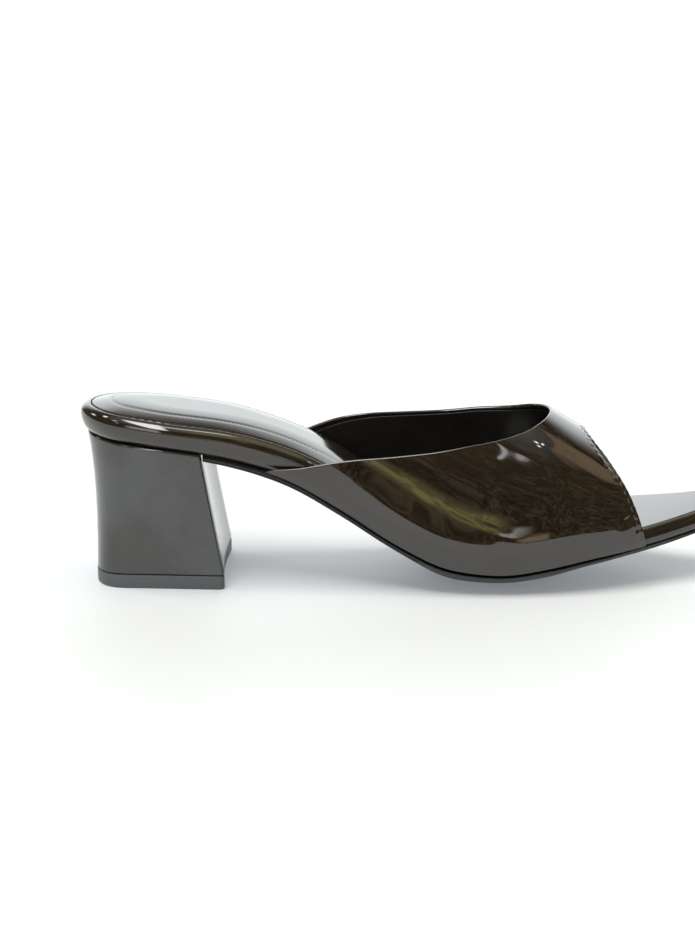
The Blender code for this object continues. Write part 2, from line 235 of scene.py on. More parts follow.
# The sole by station: half widths, height of its edge, crown of the underside, height of the
# roll, how far the outsole stands proud and how thick it is.
SOLE = Table(
    ("x", "lateral", "medial", "edge_z", "crown", "rim", "sole_proud", "tread"),
    (
        (0.0, 0.0, 0.0, 54.5, 0.0, 10.2, -2.4, 2.0),
        (15.0, 24.6, 24.6, 52.9, 0.0, 10.3, -2.4, 2.0),
        (35.0, 29.0, 29.0, 50.9, 0.0, 9.9, -2.4, 2.0),
        (55.0, 28.2, 28.0, 47.2, 0.3, 10.8, -1.8, 2.0),
        (75.0, 26.6, 25.2, 40.6, 1.2, 11.6, 0.0, 2.0),
        (95.0, 27.0, 24.6, 29.2, 2.0, 13.4, 0.7, 2.0),
        (115.0, 30.0, 27.6, 16.9, 3.6, 12.0, 0.7, 2.0),
        (135.0, 33.8, 32.6, 8.7, 6.1, 9.2, 0.7, 2.0),
        (152.0, 35.4, 36.0, 7.4, 5.6, 7.4, 0.7, 2.0),
        (168.0, 34.4, 36.6, 9.6, 6.2, 6.6, 0.7, 2.0),
        (184.0, 31.0, 33.8, 12.5, 4.0, 6.3, 0.7, 1.8),
        (203.0, 24.4, 28.4, 15.2, 2.8, 6.8, 0.2, 1.3),
        (222.0, 16.2, 18.2, 19.1, 1.6, 6.7, -0.6, 1.1),
        (236.0, 9.6, 10.4, 22.9, 0.6, 6.6, -0.8, 1.0),
        (244.0, 0.0, 0.0, 25.5, 0.0, 6.5, -0.8, 1.0),
    ),
)

# The last by station: its ridge, how far the sides bulge past the sole and how high, and the
# power of the arch above.
LAST = Table(
    ("x", "ridge_z", "ridge_y", "lateral_bulge", "medial_bulge", "bulge_z", "fullness"),
    (
        (60.0, 108.0, 2.0, 2.2, 2.2, 3.0, 2.0),
        (80.0, 103.0, 2.0, 2.6, 2.8, 3.0, 2.0),
        (100.0, 96.0, 3.0, 2.8, 3.4, 3.0, 2.0),
        (120.0, 87.0, 4.0, 2.4, 3.0, 2.6, 2.05),
        (140.0, 76.5, 4.0, 1.9, 2.2, 2.2, 2.1),
        (155.0, 68.5, 4.0, 1.7, 1.8, 2.2, 2.15),
        (171.0, 60.5, 3.0, 1.7, 1.7, 2.6, 2.2),
        (184.0, 52.6, 2.0, 1.7, 1.7, 3.0, 2.2),
        (196.0, 46.2, 2.0, 1.7, 1.7, 3.4, 2.2),
        (206.0, 41.6, 1.0, 1.7, 1.7, 3.4, 2.2),
    ),
)

# Stations of the vamp's two cuts by share of the way up, from the foot to the ridge.
EDGES = Table(
    ("share", "collar_lateral", "collar_medial", "toe_lateral", "toe_medial"),
    (
        (0.0, 67.0, 67.0, 204.3, 204.0),
        (0.1, 80.0, 77.5, 203.2, 202.4),
        (0.2, 91.0, 85.5, 201.9, 200.6),
        (0.3, 103.5, 94.0, 200.3, 198.4),
        (0.4, 118.5, 105.5, 198.4, 195.7),
        (0.5, 135.0, 122.0, 196.1, 192.7),
        (0.6, 152.5, 142.5, 193.3, 189.8),
        (0.7, 163.0, 160.0, 190.4, 187.4),
        (0.85, 169.2, 169.2, 186.2, 185.0),
        (1.0, 171.0, 171.0, 184.3, 184.3),
    ),
)

# Section of the roll: offset from the plan, share of the roll's height and what is added to it.
RIM = Table(
    ("along", "offset", "share", "rise"),
    (
        (0.0, -2.8, 0.0, 0.0),
        (1.2, -1.8, 0.07, 0.0),
        (3.2, -0.62, 0.25, 0.0),
        (5.3, -0.08, 0.47, 0.0),
        (6.5, 0.0, 0.58, 0.0),
        (7.8, -0.30, 0.72, 0.0),
        (9.3, -1.3, 0.835, 0.0),
        (10.6, -2.4, 0.908, 0.0),
        (11.5, -3.2, 0.938, 0.0),
        (12.0, -3.75, 0.944, -0.12),
        (12.6, -3.97, 0.944, -0.65),
        (14.0, -4.05, 0.944, -2.0),
    ),
)


@dataclass
class Last:
    """The last that every piece is fitted to, with the sole's plan and the vamp's cuts."""

    length: float = 244.0
    softness: float = 4.0
    plan_softness: float = 2.5
    crown_power: float = 2.6
    foot_proud: float = 0.4
    section_step: float = 0.25
    section_softness: float = 3.0
    tuck_steps: int = 200
    arch_steps: int = 400
    girth_samples: int = 800
    cut_softness: float = 0.012

    def __post_init__(self) -> None:
        """Reads the tables as curves and lays out the last's sections."""
        self.sole = {name: SOLE.curve(name, self.softness) for name in SOLE.columns[1:]}
        self.squares = {side: SOLE.curve(side.name.lower(), self.plan_softness, 2) for side in Side}
        self.upper = {name: LAST.curve(name, self.softness) for name in LAST.columns[1:]}
        self.collar = self._cut("collar")
        self.toe = self._cut("toe")
        span = LAST.column("x")
        self.section_x = np.arange(span[0], span[-1] + self.section_step, self.section_step)
        self.sections = self._sections()

    def _cut(self, name: str) -> Curve:
        """One of the vamp's two cuts.

        Args:
            name: Which one, collar or toe.

        Returns:
            Its station over the girth, from the lateral foot (0) to the medial foot (1).
        """
        half = EDGES.column("share") / 2
        lateral = EDGES.column(name + "_lateral")
        medial = EDGES.column(name + "_medial")
        girth = np.concatenate((half, 1 - half[-2::-1]))
        return Curve(girth, np.concatenate((lateral, medial[-2::-1])), self.cut_softness)

    def _half_section(self, side: Side) -> np.ndarray:
        """The last's sections up one side.

        Args:
            side: The side.

        Returns:
            Points (station, step, 2) as y and z, from the sole's edge up to the ridge.
        """
        x = self.section_x[:, None]
        half = self.half_width(x, np.full_like(x, side.value))
        foot = half + self.foot_proud
        widest = half + self.upper[side.name.lower() + "_bulge"](x)
        edge_z = self.sole["edge_z"](x)
        rise = np.linspace(0, 1, self.tuck_steps, endpoint=False)[None, :]
        turn = np.linspace(0, math.pi / 2, self.arch_steps)[None, :]
        power = 2 / self.upper["fullness"](x)
        out = np.clip(np.cos(turn), 0, 1) ** power
        up = np.clip(np.sin(turn), 0, 1) ** power
        waist_z = edge_z + self.upper["bulge_z"](x)
        ridge_y, ridge_z = self.upper["ridge_y"](x), self.upper["ridge_z"](x)
        low_y = side.value * (widest - (widest - foot) * (1 - rise) ** 2)
        low_z = edge_z + rise * (waist_z - edge_z)
        high_y = ridge_y + (side.value * widest - ridge_y) * out
        high_z = waist_z + (ridge_z - waist_z) * up
        y = np.concatenate((low_y, high_y), axis=1)
        z = np.concatenate((low_z, high_z), axis=1)
        return np.stack((y, z), axis=-1)

    def _sections(self) -> np.ndarray:
        """The last's whole sections, evenly spaced up each side and softened over the girth.

        Returns:
            Points (station, step, 2) as y and z, from the lateral to the medial foot.
        """
        shares = np.linspace(0, 1, self.girth_samples // 2 + 1)
        halves = []
        for side in Side:
            points = self._half_section(side)
            rows = zip(points, run_lengths(points))
            halves.append(np.stack([read_row(row, along, shares * along[-1]) for row, along in rows]))
        whole = np.concatenate((halves[0], halves[1][:, -2::-1]), axis=1)
        girth = run_lengths(whole)[:, -1].mean()
        sigma = self.section_softness * self.girth_samples / girth
        return np.apply_along_axis(soften, 1, whole, sigma)

    def surface(self, x: np.ndarray, girth: np.ndarray) -> np.ndarray:
        """Points of the last's surface.

        Args:
            x: Stations along the shoe.
            girth: Places over the girth, from the lateral foot (0) to the medial foot (1).

        Returns:
            The points, with a last axis of 3.
        """
        within = 1e-3
        x, girth = np.broadcast_arrays(x, girth)
        i = np.clip((x - self.section_x[0]) / self.section_step, 0, len(self.section_x) - 1 - within)
        k = np.clip(girth * self.girth_samples, 0, self.girth_samples - within)
        i_low, k_low = i.astype(int), k.astype(int)
        i_part, k_part = (i - i_low)[..., None], (k - k_low)[..., None]
        near, far = (
            self.sections[row, k_low] * (1 - k_part) + self.sections[row, k_low + 1] * k_part
            for row in (i_low, i_low + 1)
        )
        return np.concatenate((x[..., None], near * (1 - i_part) + far * i_part), axis=-1)

    def half_width(self, x: np.ndarray, y: np.ndarray) -> np.ndarray:
        """Half width of the footbed on the side that y is on."""
        lateral, medial = self.squares[Side.LATERAL](x), self.squares[Side.MEDIAL](x)
        return np.sqrt(np.maximum(np.where(y < 0, lateral, medial), 0))

    def side_share(self, x: np.ndarray, y: np.ndarray) -> np.ndarray:
        """How far out a point lies, from the long axis (0) to the footbed's edge (1)."""
        return np.clip(np.abs(y) / np.maximum(self.half_width(x, y), 1e-6), 0, 1)

    def edge_distance(self, x: np.ndarray, y: np.ndarray) -> np.ndarray:
        """How far a point lies inside the footbed's plan, taken as round or straight nearby.

        Args:
            x: Stations along the shoe.
            y: Distances from the long axis.

        Returns:
            The distances from the plan's edge.
        """
        lateral, medial = self.squares[Side.LATERAL], self.squares[Side.MEDIAL]
        square = np.where(y < 0, lateral(x), medial(x))
        slope = np.where(y < 0, lateral.slope(x), medial.slope(x))
        core = slope * slope / 4 + y * y
        return np.sqrt(np.maximum(core + square - y * y, 0)) - np.sqrt(core)

    def underside_z(self, x: np.ndarray, y: np.ndarray) -> np.ndarray:
        """Height of the footbed's underside, which hangs by the crown in the middle."""
        hang = 1 - self.side_share(x, y) ** self.crown_power
        return self.sole["edge_z"](x) - self.sole["crown"](x) * hang

    def plan_ring(self, stations: int, offset: float | np.ndarray) -> np.ndarray:
        """The footbed's plan as a closed ring.

        Args:
            stations: Stretches along each side.
            offset: How far the ring is moved outwards, one for all or one for each point.

        Returns:
            Points (2 * stations + 1, 2) from the heel along the lateral side to the toe and back
            along the medial side. The last point is the first.
        """
        x = self.length * (1 - np.cos(np.linspace(0, math.pi, stations + 1))) / 2
        lateral = np.stack((x, -self.half_width(x, np.full_like(x, -1))), axis=-1)
        medial = np.stack((x, self.half_width(x, np.full_like(x, 1))), axis=-1)
        ring = np.concatenate((lateral, medial[-2:0:-1]))
        along = np.roll(ring, -1, axis=0) - np.roll(ring, 1, axis=0)
        normals = unit(np.stack((along[:, 1], -along[:, 0]), axis=-1))
        moved = ring + normals * np.broadcast_to(offset, len(ring))[:, None]
        return np.concatenate((moved, moved[:1]))


def across(ring: np.ndarray, columns: int) -> np.ndarray:
    """Rows across a plan ring.

    Args:
        ring: A closed ring from Last.plan_ring.
        columns: Stretches across.

    Returns:
        Points (stations + 1, columns + 1, 2) from the lateral to the medial side.
    """
    stations = len(ring) // 2
    lateral = ring[:stations + 1, None]
    medial = ring[:stations - 1:-1, None]
    share = np.linspace(0, 1, columns + 1)[None, :, None]
    return lateral * (1 - share) + medial * share


def raised(plan: np.ndarray, height: np.ndarray) -> np.ndarray:
    """Plan points with their heights."""
    return np.concatenate((plan, np.broadcast_to(height, plan.shape[:-1])[..., None]), axis=-1)


def grid_mesh(*grids: np.ndarray) -> bmesh.types.BMesh:
    """A mesh of grids that are carried onto points.

    Args:
        grids: Places (row, column, 3) of each grid's vertices.

    Returns:
        The mesh.
    """
    bm = bmesh.new()
    for points in grids:
        rows, columns = points.shape[0] - 1, points.shape[1] - 1
        made = bmesh.ops.create_grid(bm, x_segments=columns, y_segments=rows, size=0.5)["verts"]
        flat = np.array([vert.co for vert in made])
        row = np.rint((flat[:, 1] + 0.5) * rows).astype(int)
        column = np.rint((flat[:, 0] + 0.5) * columns).astype(int)
        for vert, place in zip(made, points[row, column]):
            vert.co = place
    return bm


def rolled_edge(start: np.ndarray, end: np.ndarray, outward: np.ndarray, steps: int,
                squareness: float = 2.0) -> np.ndarray:
    """Rounds the edge between two faces of a sheet.

    Args:
        start: Edge points of the one face.
        end: Edge points of the other face.
        outward: Directions out of the sheet's edge.
        steps: Points of the rounding.
        squareness: 2 for a half circle, more for a flatter edge.

    Returns:
        Points (edge point, steps, 3) between the two faces.
    """
    middle, arm = (start + end) / 2, (start - end) / 2
    reach = np.linalg.norm(arm, axis=-1, keepdims=True) * unit(outward)
    turn = np.linspace(0, math.pi, steps + 2)[1:-1]
    power = 2 / squareness
    lean = np.sign(np.cos(turn)) * np.abs(np.cos(turn)) ** power
    bulge = np.sin(turn) ** power
    return middle[:, None] + arm[:, None] * lean[:, None] + reach[:, None] * bulge[:, None]


def sheet_band(outer: np.ndarray, inner: np.ndarray, steps: int, squareness: float = 2.0) -> np.ndarray:
    """A sheet with two rounded edges as one closed band.

    Args:
        outer: Points (row, column, 3) of its outer face.
        inner: Points of its inner face, row for row and column for column.
        steps: Points of each edge's rounding.
        squareness: How flat the edges are.

    Returns:
        Points (row, column, 3) once round the sheet. The last column is the first.
    """
    far = rolled_edge(outer[:, -1], inner[:, -1], outer[:, -1] - outer[:, -2], steps, squareness)
    near = rolled_edge(inner[:, 0], outer[:, 0], outer[:, 0] - outer[:, 1], steps, squareness)
    return np.concatenate((outer, far, inner[:, ::-1], near, outer[:, :1]), axis=1)


class Value:
    """A number that a node gives, on which sums read as Python expressions."""

    def __init__(self, shader: "Shader", socket: bpy.types.NodeSocket) -> None:
        """Wraps a node's output."""
        self.shader = shader
        self.socket = socket

    def _sum(self, operation: str, first: "Value | float", second: "Value | float") -> "Value":
        """A Math node on two numbers."""
        node = self.shader.add("ShaderNodeMath", {"operation": operation}, {0: first, 1: second})
        return Value(self.shader, node.outputs[0])

    def __add__(self, other: "Value | float") -> "Value":
        """This number and another."""
        return self._sum("ADD", self, other)

    def __radd__(self, other: "Value | float") -> "Value":
        """Another number and this one."""
        return self._sum("ADD", other, self)

    def __sub__(self, other: "Value | float") -> "Value":
        """This number less another."""
        return self._sum("SUBTRACT", self, other)

    def __rsub__(self, other: "Value | float") -> "Value":
        """Another number less this one."""
        return self._sum("SUBTRACT", other, self)

    def __mul__(self, other: "Value | float") -> "Value":
        """This number times another."""
        return self._sum("MULTIPLY", self, other)

    def __rmul__(self, other: "Value | float") -> "Value":
        """Another number times this one."""
        return self._sum("MULTIPLY", other, self)

    def __truediv__(self, other: "Value | float") -> "Value":
        """This number over another."""
        return self._sum("DIVIDE", self, other)

    def __rtruediv__(self, other: "Value | float") -> "Value":
        """Another number over this one."""
        return self._sum("DIVIDE", other, self)

    def angle(self, other: "Value | float") -> "Value":
        """The angle whose tangent is this number over another, in radians."""
        return self._sum("ARCTAN2", self, other)

    def __abs__(self) -> "Value":
        """This number without its sign."""
        return self._sum("ABSOLUTE", self, 0.0)


class Shader:
    """The nodes of a material or of the world."""

    def __init__(self, tree: bpy.types.NodeTree) -> None:
        """Starts on a node tree."""
        self.tree = tree

    def add(self, kind: str, settings: dict | None = None, sockets: dict | None = None) -> bpy.types.Node:
        """Adds a node.

        Args:
            kind: The node's type.
            settings: Its settings, set first.
            sockets: Values or links of its inputs, by name or number.

        Returns:
            The node.
        """
        node = self.tree.nodes.new(kind)
        for name, value in (settings or {}).items():
            setattr(node, name, value)
        for name, value in (sockets or {}).items():
            self.feed(node.inputs[name], value)
        return node

    def feed(self, socket: bpy.types.NodeSocket, value: object) -> None:
        """Sets a socket, or links it.

        Args:
            socket: The input.
            value: A Value or an output to link, or a plain number, vector or colour.
        """
        if isinstance(value, Value):
            self.tree.links.new(value.socket, socket)
        elif isinstance(value, bpy.types.NodeSocket):
            self.tree.links.new(value, socket)
        else:
            socket.default_value = value

    def place(self) -> bpy.types.NodeSocket:
        """Object coordinates, in metres."""
        return self.add("ShaderNodeTexCoord").outputs["Object"]

    def noise(self, size: float, detail: float = 2.0, stretch: tuple[float, ...] = (1.0, 1.0, 1.0)) -> Value:
        """Soft noise over the surface.

        Args:
            size: Size of its blots, in millimetres.
            detail: How many finer layers it has.
            stretch: Scale of the pattern along x, y and z.

        Returns:
            A number from about 0 to 1.
        """
        turned = self.add("ShaderNodeMapping", None, {"Vector": self.place(), "Scale": stretch})
        node = self.add("ShaderNodeTexNoise", None, {
            "Vector": turned.outputs[0], "Scale": 1 / (size * MM), "Detail": detail,
        })
        return Value(self, node.outputs[0])

    def cells(self, size: float) -> Value:
        """Distance to the middle of pebble cells of a size in millimetres."""
        node = self.add("ShaderNodeTexVoronoi", None, {"Vector": self.place(), "Scale": 1 / (size * MM)})
        return Value(self, node.outputs["Distance"])

    def blend(self, factor: Value, first: object, second: object) -> bpy.types.NodeSocket:
        """A colour between two, which are plain or come from nodes."""
        node = self.add("ShaderNodeMix", {"data_type": "RGBA"}, {0: factor, 6: first, 7: second})
        return node.outputs[2]

    def ramp(self, value: Value, start: float, end: float) -> Value:
        """Goes softly from 0 where a number is at start to 1 where it is at end."""
        node = self.add("ShaderNodeMapRange", {"interpolation_type": "SMOOTHSTEP"}, {
            "Value": value, "From Min": start, "From Max": end,
        })
        return Value(self, node.outputs[0])

    def dot(self, vector: bpy.types.NodeSocket, way: tuple[float, float, float]) -> Value:
        """How far a vector goes along a direction."""
        node = self.add("ShaderNodeVectorMath", {"operation": "DOT_PRODUCT"}, {0: vector, 1: way})
        return Value(self, node.outputs["Value"])

    def length(self, vector: bpy.types.NodeSocket) -> Value:
        """A vector's length."""
        node = self.add("ShaderNodeVectorMath", {"operation": "LENGTH"}, {0: vector})
        return Value(self, node.outputs["Value"])

    def relief(self, height: Value) -> bpy.types.NodeSocket:
        """A normal from a height in millimetres."""
        return self.add("ShaderNodeBump", None, {"Height": height, "Distance": MM}).outputs[0]


def new_material(name: str) -> tuple[bpy.types.Material, Shader, bpy.types.Node]:
    """An empty material.

    Args:
        name: The material's name.

    Returns:
        The material, its nodes and its main shader.
    """
    material = bpy.data.materials.new(name)
    material.use_nodes = True
    return material, Shader(material.node_tree), material.node_tree.nodes["Principled BSDF"]


Colour = tuple[float, ...]
Layers = tuple[Value, Value, Value]


@dataclass(frozen=True)
class Finish:
    """A surface between two colours whose roughness and relief vary."""

    name: str
    colour: Colour
    second: Colour
    density: float = 1.5

    def layers(self, shader: Shader) -> Layers:
        """What varies over the surface, which each kind of finish says for itself.

        Args:
            shader: The material's nodes.

        Returns:
            The share of the second colour, the roughness and the relief in millimetres.
        """
        raise NotImplementedError

    def material(self) -> bpy.types.Material:
        """Makes the finish.

        Returns:
            Its material.
        """
        material, shader, surface = new_material(self.name)
        share, roughness, height = self.layers(shader)
        shader.feed(surface.inputs["Base Color"], shader.blend(share, self.colour, self.second))
        shader.feed(surface.inputs["Roughness"], roughness)
        shader.feed(surface.inputs["Normal"], shader.relief(height))
        surface.inputs["IOR"].default_value = self.density
        return material


@dataclass(frozen=True)
class PatentFinish(Finish):
    """Leather under a thick clear film: dark, mirror-like, with the film's slow ripple."""

    colour: Colour = (0.0195, 0.0135, 0.0087, 1.0)
    second: Colour = (0.0130, 0.0092, 0.0063, 1.0)
    density: float = 1.80
    gloss: float = 0.02
    smear: float = 0.03
    smear_size: float = 22.0
    ripple: float = 0.02
    ripple_size: float = 9.0
    grain: float = 0.0012
    grain_size: float = 0.8
    cloud_size: float = 14.0
    cloud_edge: tuple[float, float] = (0.3, 0.7)

    def layers(self, shader: Shader) -> Layers:
        """The film's clouds, its smears, and its ripple with the grain under it.

        Args:
            shader: The material's nodes.

        Returns:
            Share of the second colour, roughness and relief.
        """
        cloud = shader.ramp(shader.noise(self.cloud_size, 3.0), *self.cloud_edge)
        smear = shader.noise(self.smear_size, 4.0) * self.smear
        ripple = shader.noise(self.ripple_size, 1.0) * self.ripple
        return cloud, self.gloss + smear, ripple + shader.noise(self.grain_size, 2.0) * self.grain


@dataclass(frozen=True)
class RubberFinish(Finish):
    """Moulded rubber with a fine pebble and pale scuffs."""

    roughness: float = 0.42
    scuffing: float = 0.25
    scuff_size: float = 6.0
    scuff_stretch: tuple[float, ...] = (0.5, 1.0, 2.0)
    shade_size: float = 1.2
    pebble: float = 0.03
    pebble_size: float = 0.7

    def layers(self, shader: Shader) -> Layers:
        """The scuffs, which roughen the rubber, and its pebble.

        Args:
            shader: The material's nodes.

        Returns:
            Share of the second colour, roughness and relief.
        """
        scuffs = shader.noise(self.scuff_size, 6.0, self.scuff_stretch)
        shade = shader.noise(self.shade_size, 3.0)
        height = shader.cells(self.pebble_size) * self.pebble + shade * (self.pebble / 2)
        return scuffs * shade, self.roughness + self.scuffing * scuffs, height


@dataclass(frozen=True)
class LiningFinish(Finish):
    """Thin matt lining leather, nearly black, with its pores."""

    name: str = "lining_leather"
    colour: Colour = (0.0085, 0.0080, 0.0076, 1.0)
    second: Colour = (0.020, 0.0185, 0.017, 1.0)
    roughness: float = 0.36
    wear: float = 0.2
    wear_size: float = 9.0
    pores: float = 0.05
    pore_size: float = 0.9
    grain: float = 0.02
    grain_size: float = 0.5

    def layers(self, shader: Shader) -> Layers:
        """The wear, which roughens the leather, and its pores.

        Args:
            shader: The material's nodes.

        Returns:
            Share of the second colour, roughness and relief.
        """
        wear = shader.noise(self.wear_size, 4.0)
        height = shader.cells(self.pore_size) * self.pores + shader.noise(self.grain_size, 2.0) * self.grain
        return wear, self.roughness + self.wear * wear, height


@dataclass(frozen=True)
class ThreadFinish(Finish):
    """Waxed sewing thread with its twist."""

    name: str = "waxed_thread"
    colour: Colour = (0.010, 0.0075, 0.0055, 1.0)
    second: Colour = (0.030, 0.023, 0.017, 1.0)
    gloss: float = 0.35
    dulling: float = 0.2
    twist: float = 0.08
    twist_size: float = 0.35
    twist_stretch: tuple[float, ...] = (1.0, 1.0, 2.5)

    def layers(self, shader: Shader) -> Layers:
        """The twist, which dulls the thread."""
        twist = shader.noise(self.twist_size, 1.0, self.twist_stretch)
        return twist, self.gloss + self.dulling * twist, twist * self.twist


def new_object(bm: bmesh.types.BMesh, name: str, material: bpy.types.Material) -> bpy.types.Object:
    """Puts a mesh into the scene.

    Args:
        bm: The mesh. It is used up.
        name: The object's name.
        material: Its material.

    Returns:
        The object.
    """
    mesh = bpy.data.meshes.new(name)
    bm.to_mesh(mesh)
    bm.free()
    mesh.materials.append(material)
    made = bpy.data.objects.new(name, mesh)
    bpy.context.scene.collection.objects.link(made)
    return made


@dataclass(frozen=True)
class Bench:
    """Where meshes become pieces: the place of the shoe in the frame and the materials in use."""

    heel_back: float
    axis: float
    sharp_angle: float = 38.0
    materials: dict[str, bpy.types.Material] = field(default_factory=dict)

    def piece(self, bm: bmesh.types.BMesh, name: str, finish: Finish, slot: Slot,
              stands_for: str = "") -> bpy.types.Object:
        """Makes a piece of the shoe, with its seams merged and its open ends filled.

        Args:
            bm: Its mesh, in millimetres. It is used up.
            name: The piece's name.
            finish: Its finish, whose material is made once.
            slot: The record's slot of that finish. Not used.
            stands_for: The solid that it replaces, if any.

        Returns:
            The piece, in its place in the frame.
        """
        bmesh.ops.remove_doubles(bm, verts=bm.verts, dist=MERGE_DISTANCE)
        open_edges = [edge for edge in bm.edges if edge.is_boundary]
        bmesh.ops.holes_fill(bm, edges=open_edges, sides=0)
        bmesh.ops.recalc_face_normals(bm, faces=bm.faces)
        bmesh.ops.scale(bm, vec=(MM, MM, MM), verts=bm.verts)
        bmesh.ops.translate(bm, vec=(self.heel_back, self.axis, 0.0), verts=bm.verts)
        if finish.name not in self.materials:
            self.materials[finish.name] = finish.material()
        made = new_object(bm, name, self.materials[finish.name])
        made.data.shade_smooth()
        made.data.set_sharp_from_angle(angle=math.radians(self.sharp_angle))
        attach(made, BODY)
        if stands_for:
            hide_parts(stands_for)
        LOG.info("%s: %d faces", name, len(made.data.polygons))
        return made


@dataclass(frozen=True)
class StitchRow:
    """A row of sewn stitches."""

    length: float
    pitch: float
    thread: float
    sunk: float

    def mesh(self, path: np.ndarray, normals: np.ndarray, along: np.ndarray) -> bmesh.types.BMesh:
        """Sews the row.

        Args:
            path: Points of the seam.
            normals: Directions out of the leather at those points.
            along: Distances along the seam at those points, rising.

        Returns:
            The stitches' mesh.
        """
        bm = bmesh.new()
        count = int((along[-1] - along[0]) / self.pitch)
        places = along[0] + self.pitch * (np.arange(count) + 0.5)
        slopes = np.gradient(path, along, axis=0)
        rows = [read_row(values, along, places) for values in (path, normals, slopes)]
        for at, out, ahead in zip(*rows):
            ahead = Vector(ahead).normalized()
            sideways = ahead.cross(Vector(out)).normalized()
            out = sideways.cross(ahead).normalized()
            arms = (sideways * self.thread / 2, out * self.thread / 2, ahead * self.length / 2)
            turned = Matrix([[arm[k] for arm in arms] for k in range(3)]).to_4x4()
            turned.translation = Vector(at) - out * self.sunk
            bmesh.ops.create_uvsphere(bm, u_segments=8, v_segments=6, radius=1.0, matrix=turned)
        return bm


@dataclass(frozen=True)
class Crease:
    """A soft trough, or a ridge where its depth is negative, in the vamp's leather."""

    side: Side
    x: float
    share: float
    lean: float
    reach: float
    width: float
    depth: float

    def drop(self, x: np.ndarray, girth: np.ndarray, girth_length: float) -> np.ndarray:
        """How far it lowers the leather.

        Args:
            x: Stations along the shoe.
            girth: Places over the girth, 0 to 1.
            girth_length: Length of the girth.

        Returns:
            Drops in millimetres.
        """
        centre = self.share / 2 if self.side is Side.LATERAL else 1 - self.share / 2
        up = (girth - centre) * girth_length * -self.side.value
        ahead, over = leaning(x - self.x, up, self.lean)
        return self.depth * np.exp(-(ahead / self.reach) ** 2 - (over / self.width) ** 2)


# The main creases: side, station, share of the way up, lean, reach, width and depth.
CREASES = (
    Crease(Side.LATERAL, 132.0, 0.085, 0.0, 36.0, 10.0, -0.95),
    Crease(Side.LATERAL, 127.0, 0.250, -8.0, 24.0, 4.6, -0.09),
    Crease(Side.LATERAL, 151.0, 0.180, -18.0, 8.0, 2.6, -0.07),
    Crease(Side.LATERAL, 147.0, 0.232, -14.0, 5.0, 1.2, 0.03),
    Crease(Side.LATERAL, 176.0, 0.55, -34.0, 12.0, 4.0, 0.16),
    Crease(Side.LATERAL, 190.0, 0.62, -50.0, 6.0, 2.2, 0.10),
    Crease(Side.LATERAL, 188.0, 0.70, -66.0, 4.5, 1.3, 0.11),
    Crease(Side.LATERAL, 198.6, 0.34, 52.0, 2.6, 0.8, 0.17),
    Crease(Side.LATERAL, 197.2, 0.25, 62.0, 3.2, 0.9, 0.24),
    Crease(Side.LATERAL, 195.2, 0.21, 80.0, 3.2, 0.9, 0.20),
    Crease(Side.MEDIAL, 130.0, 0.085, 0.0, 36.0, 10.0, -0.90),
    Crease(Side.MEDIAL, 148.0, 0.22, 6.0, 10.0, 3.0, 0.10),
    Crease(Side.MEDIAL, 136.0, 0.30, -14.0, 12.0, 3.4, 0.09),
    Crease(Side.MEDIAL, 178.0, 0.58, -30.0, 12.0, 4.0, 0.16),
    Crease(Side.MEDIAL, 193.5, 0.20, 66.0, 3.4, 1.3, 0.11),
)


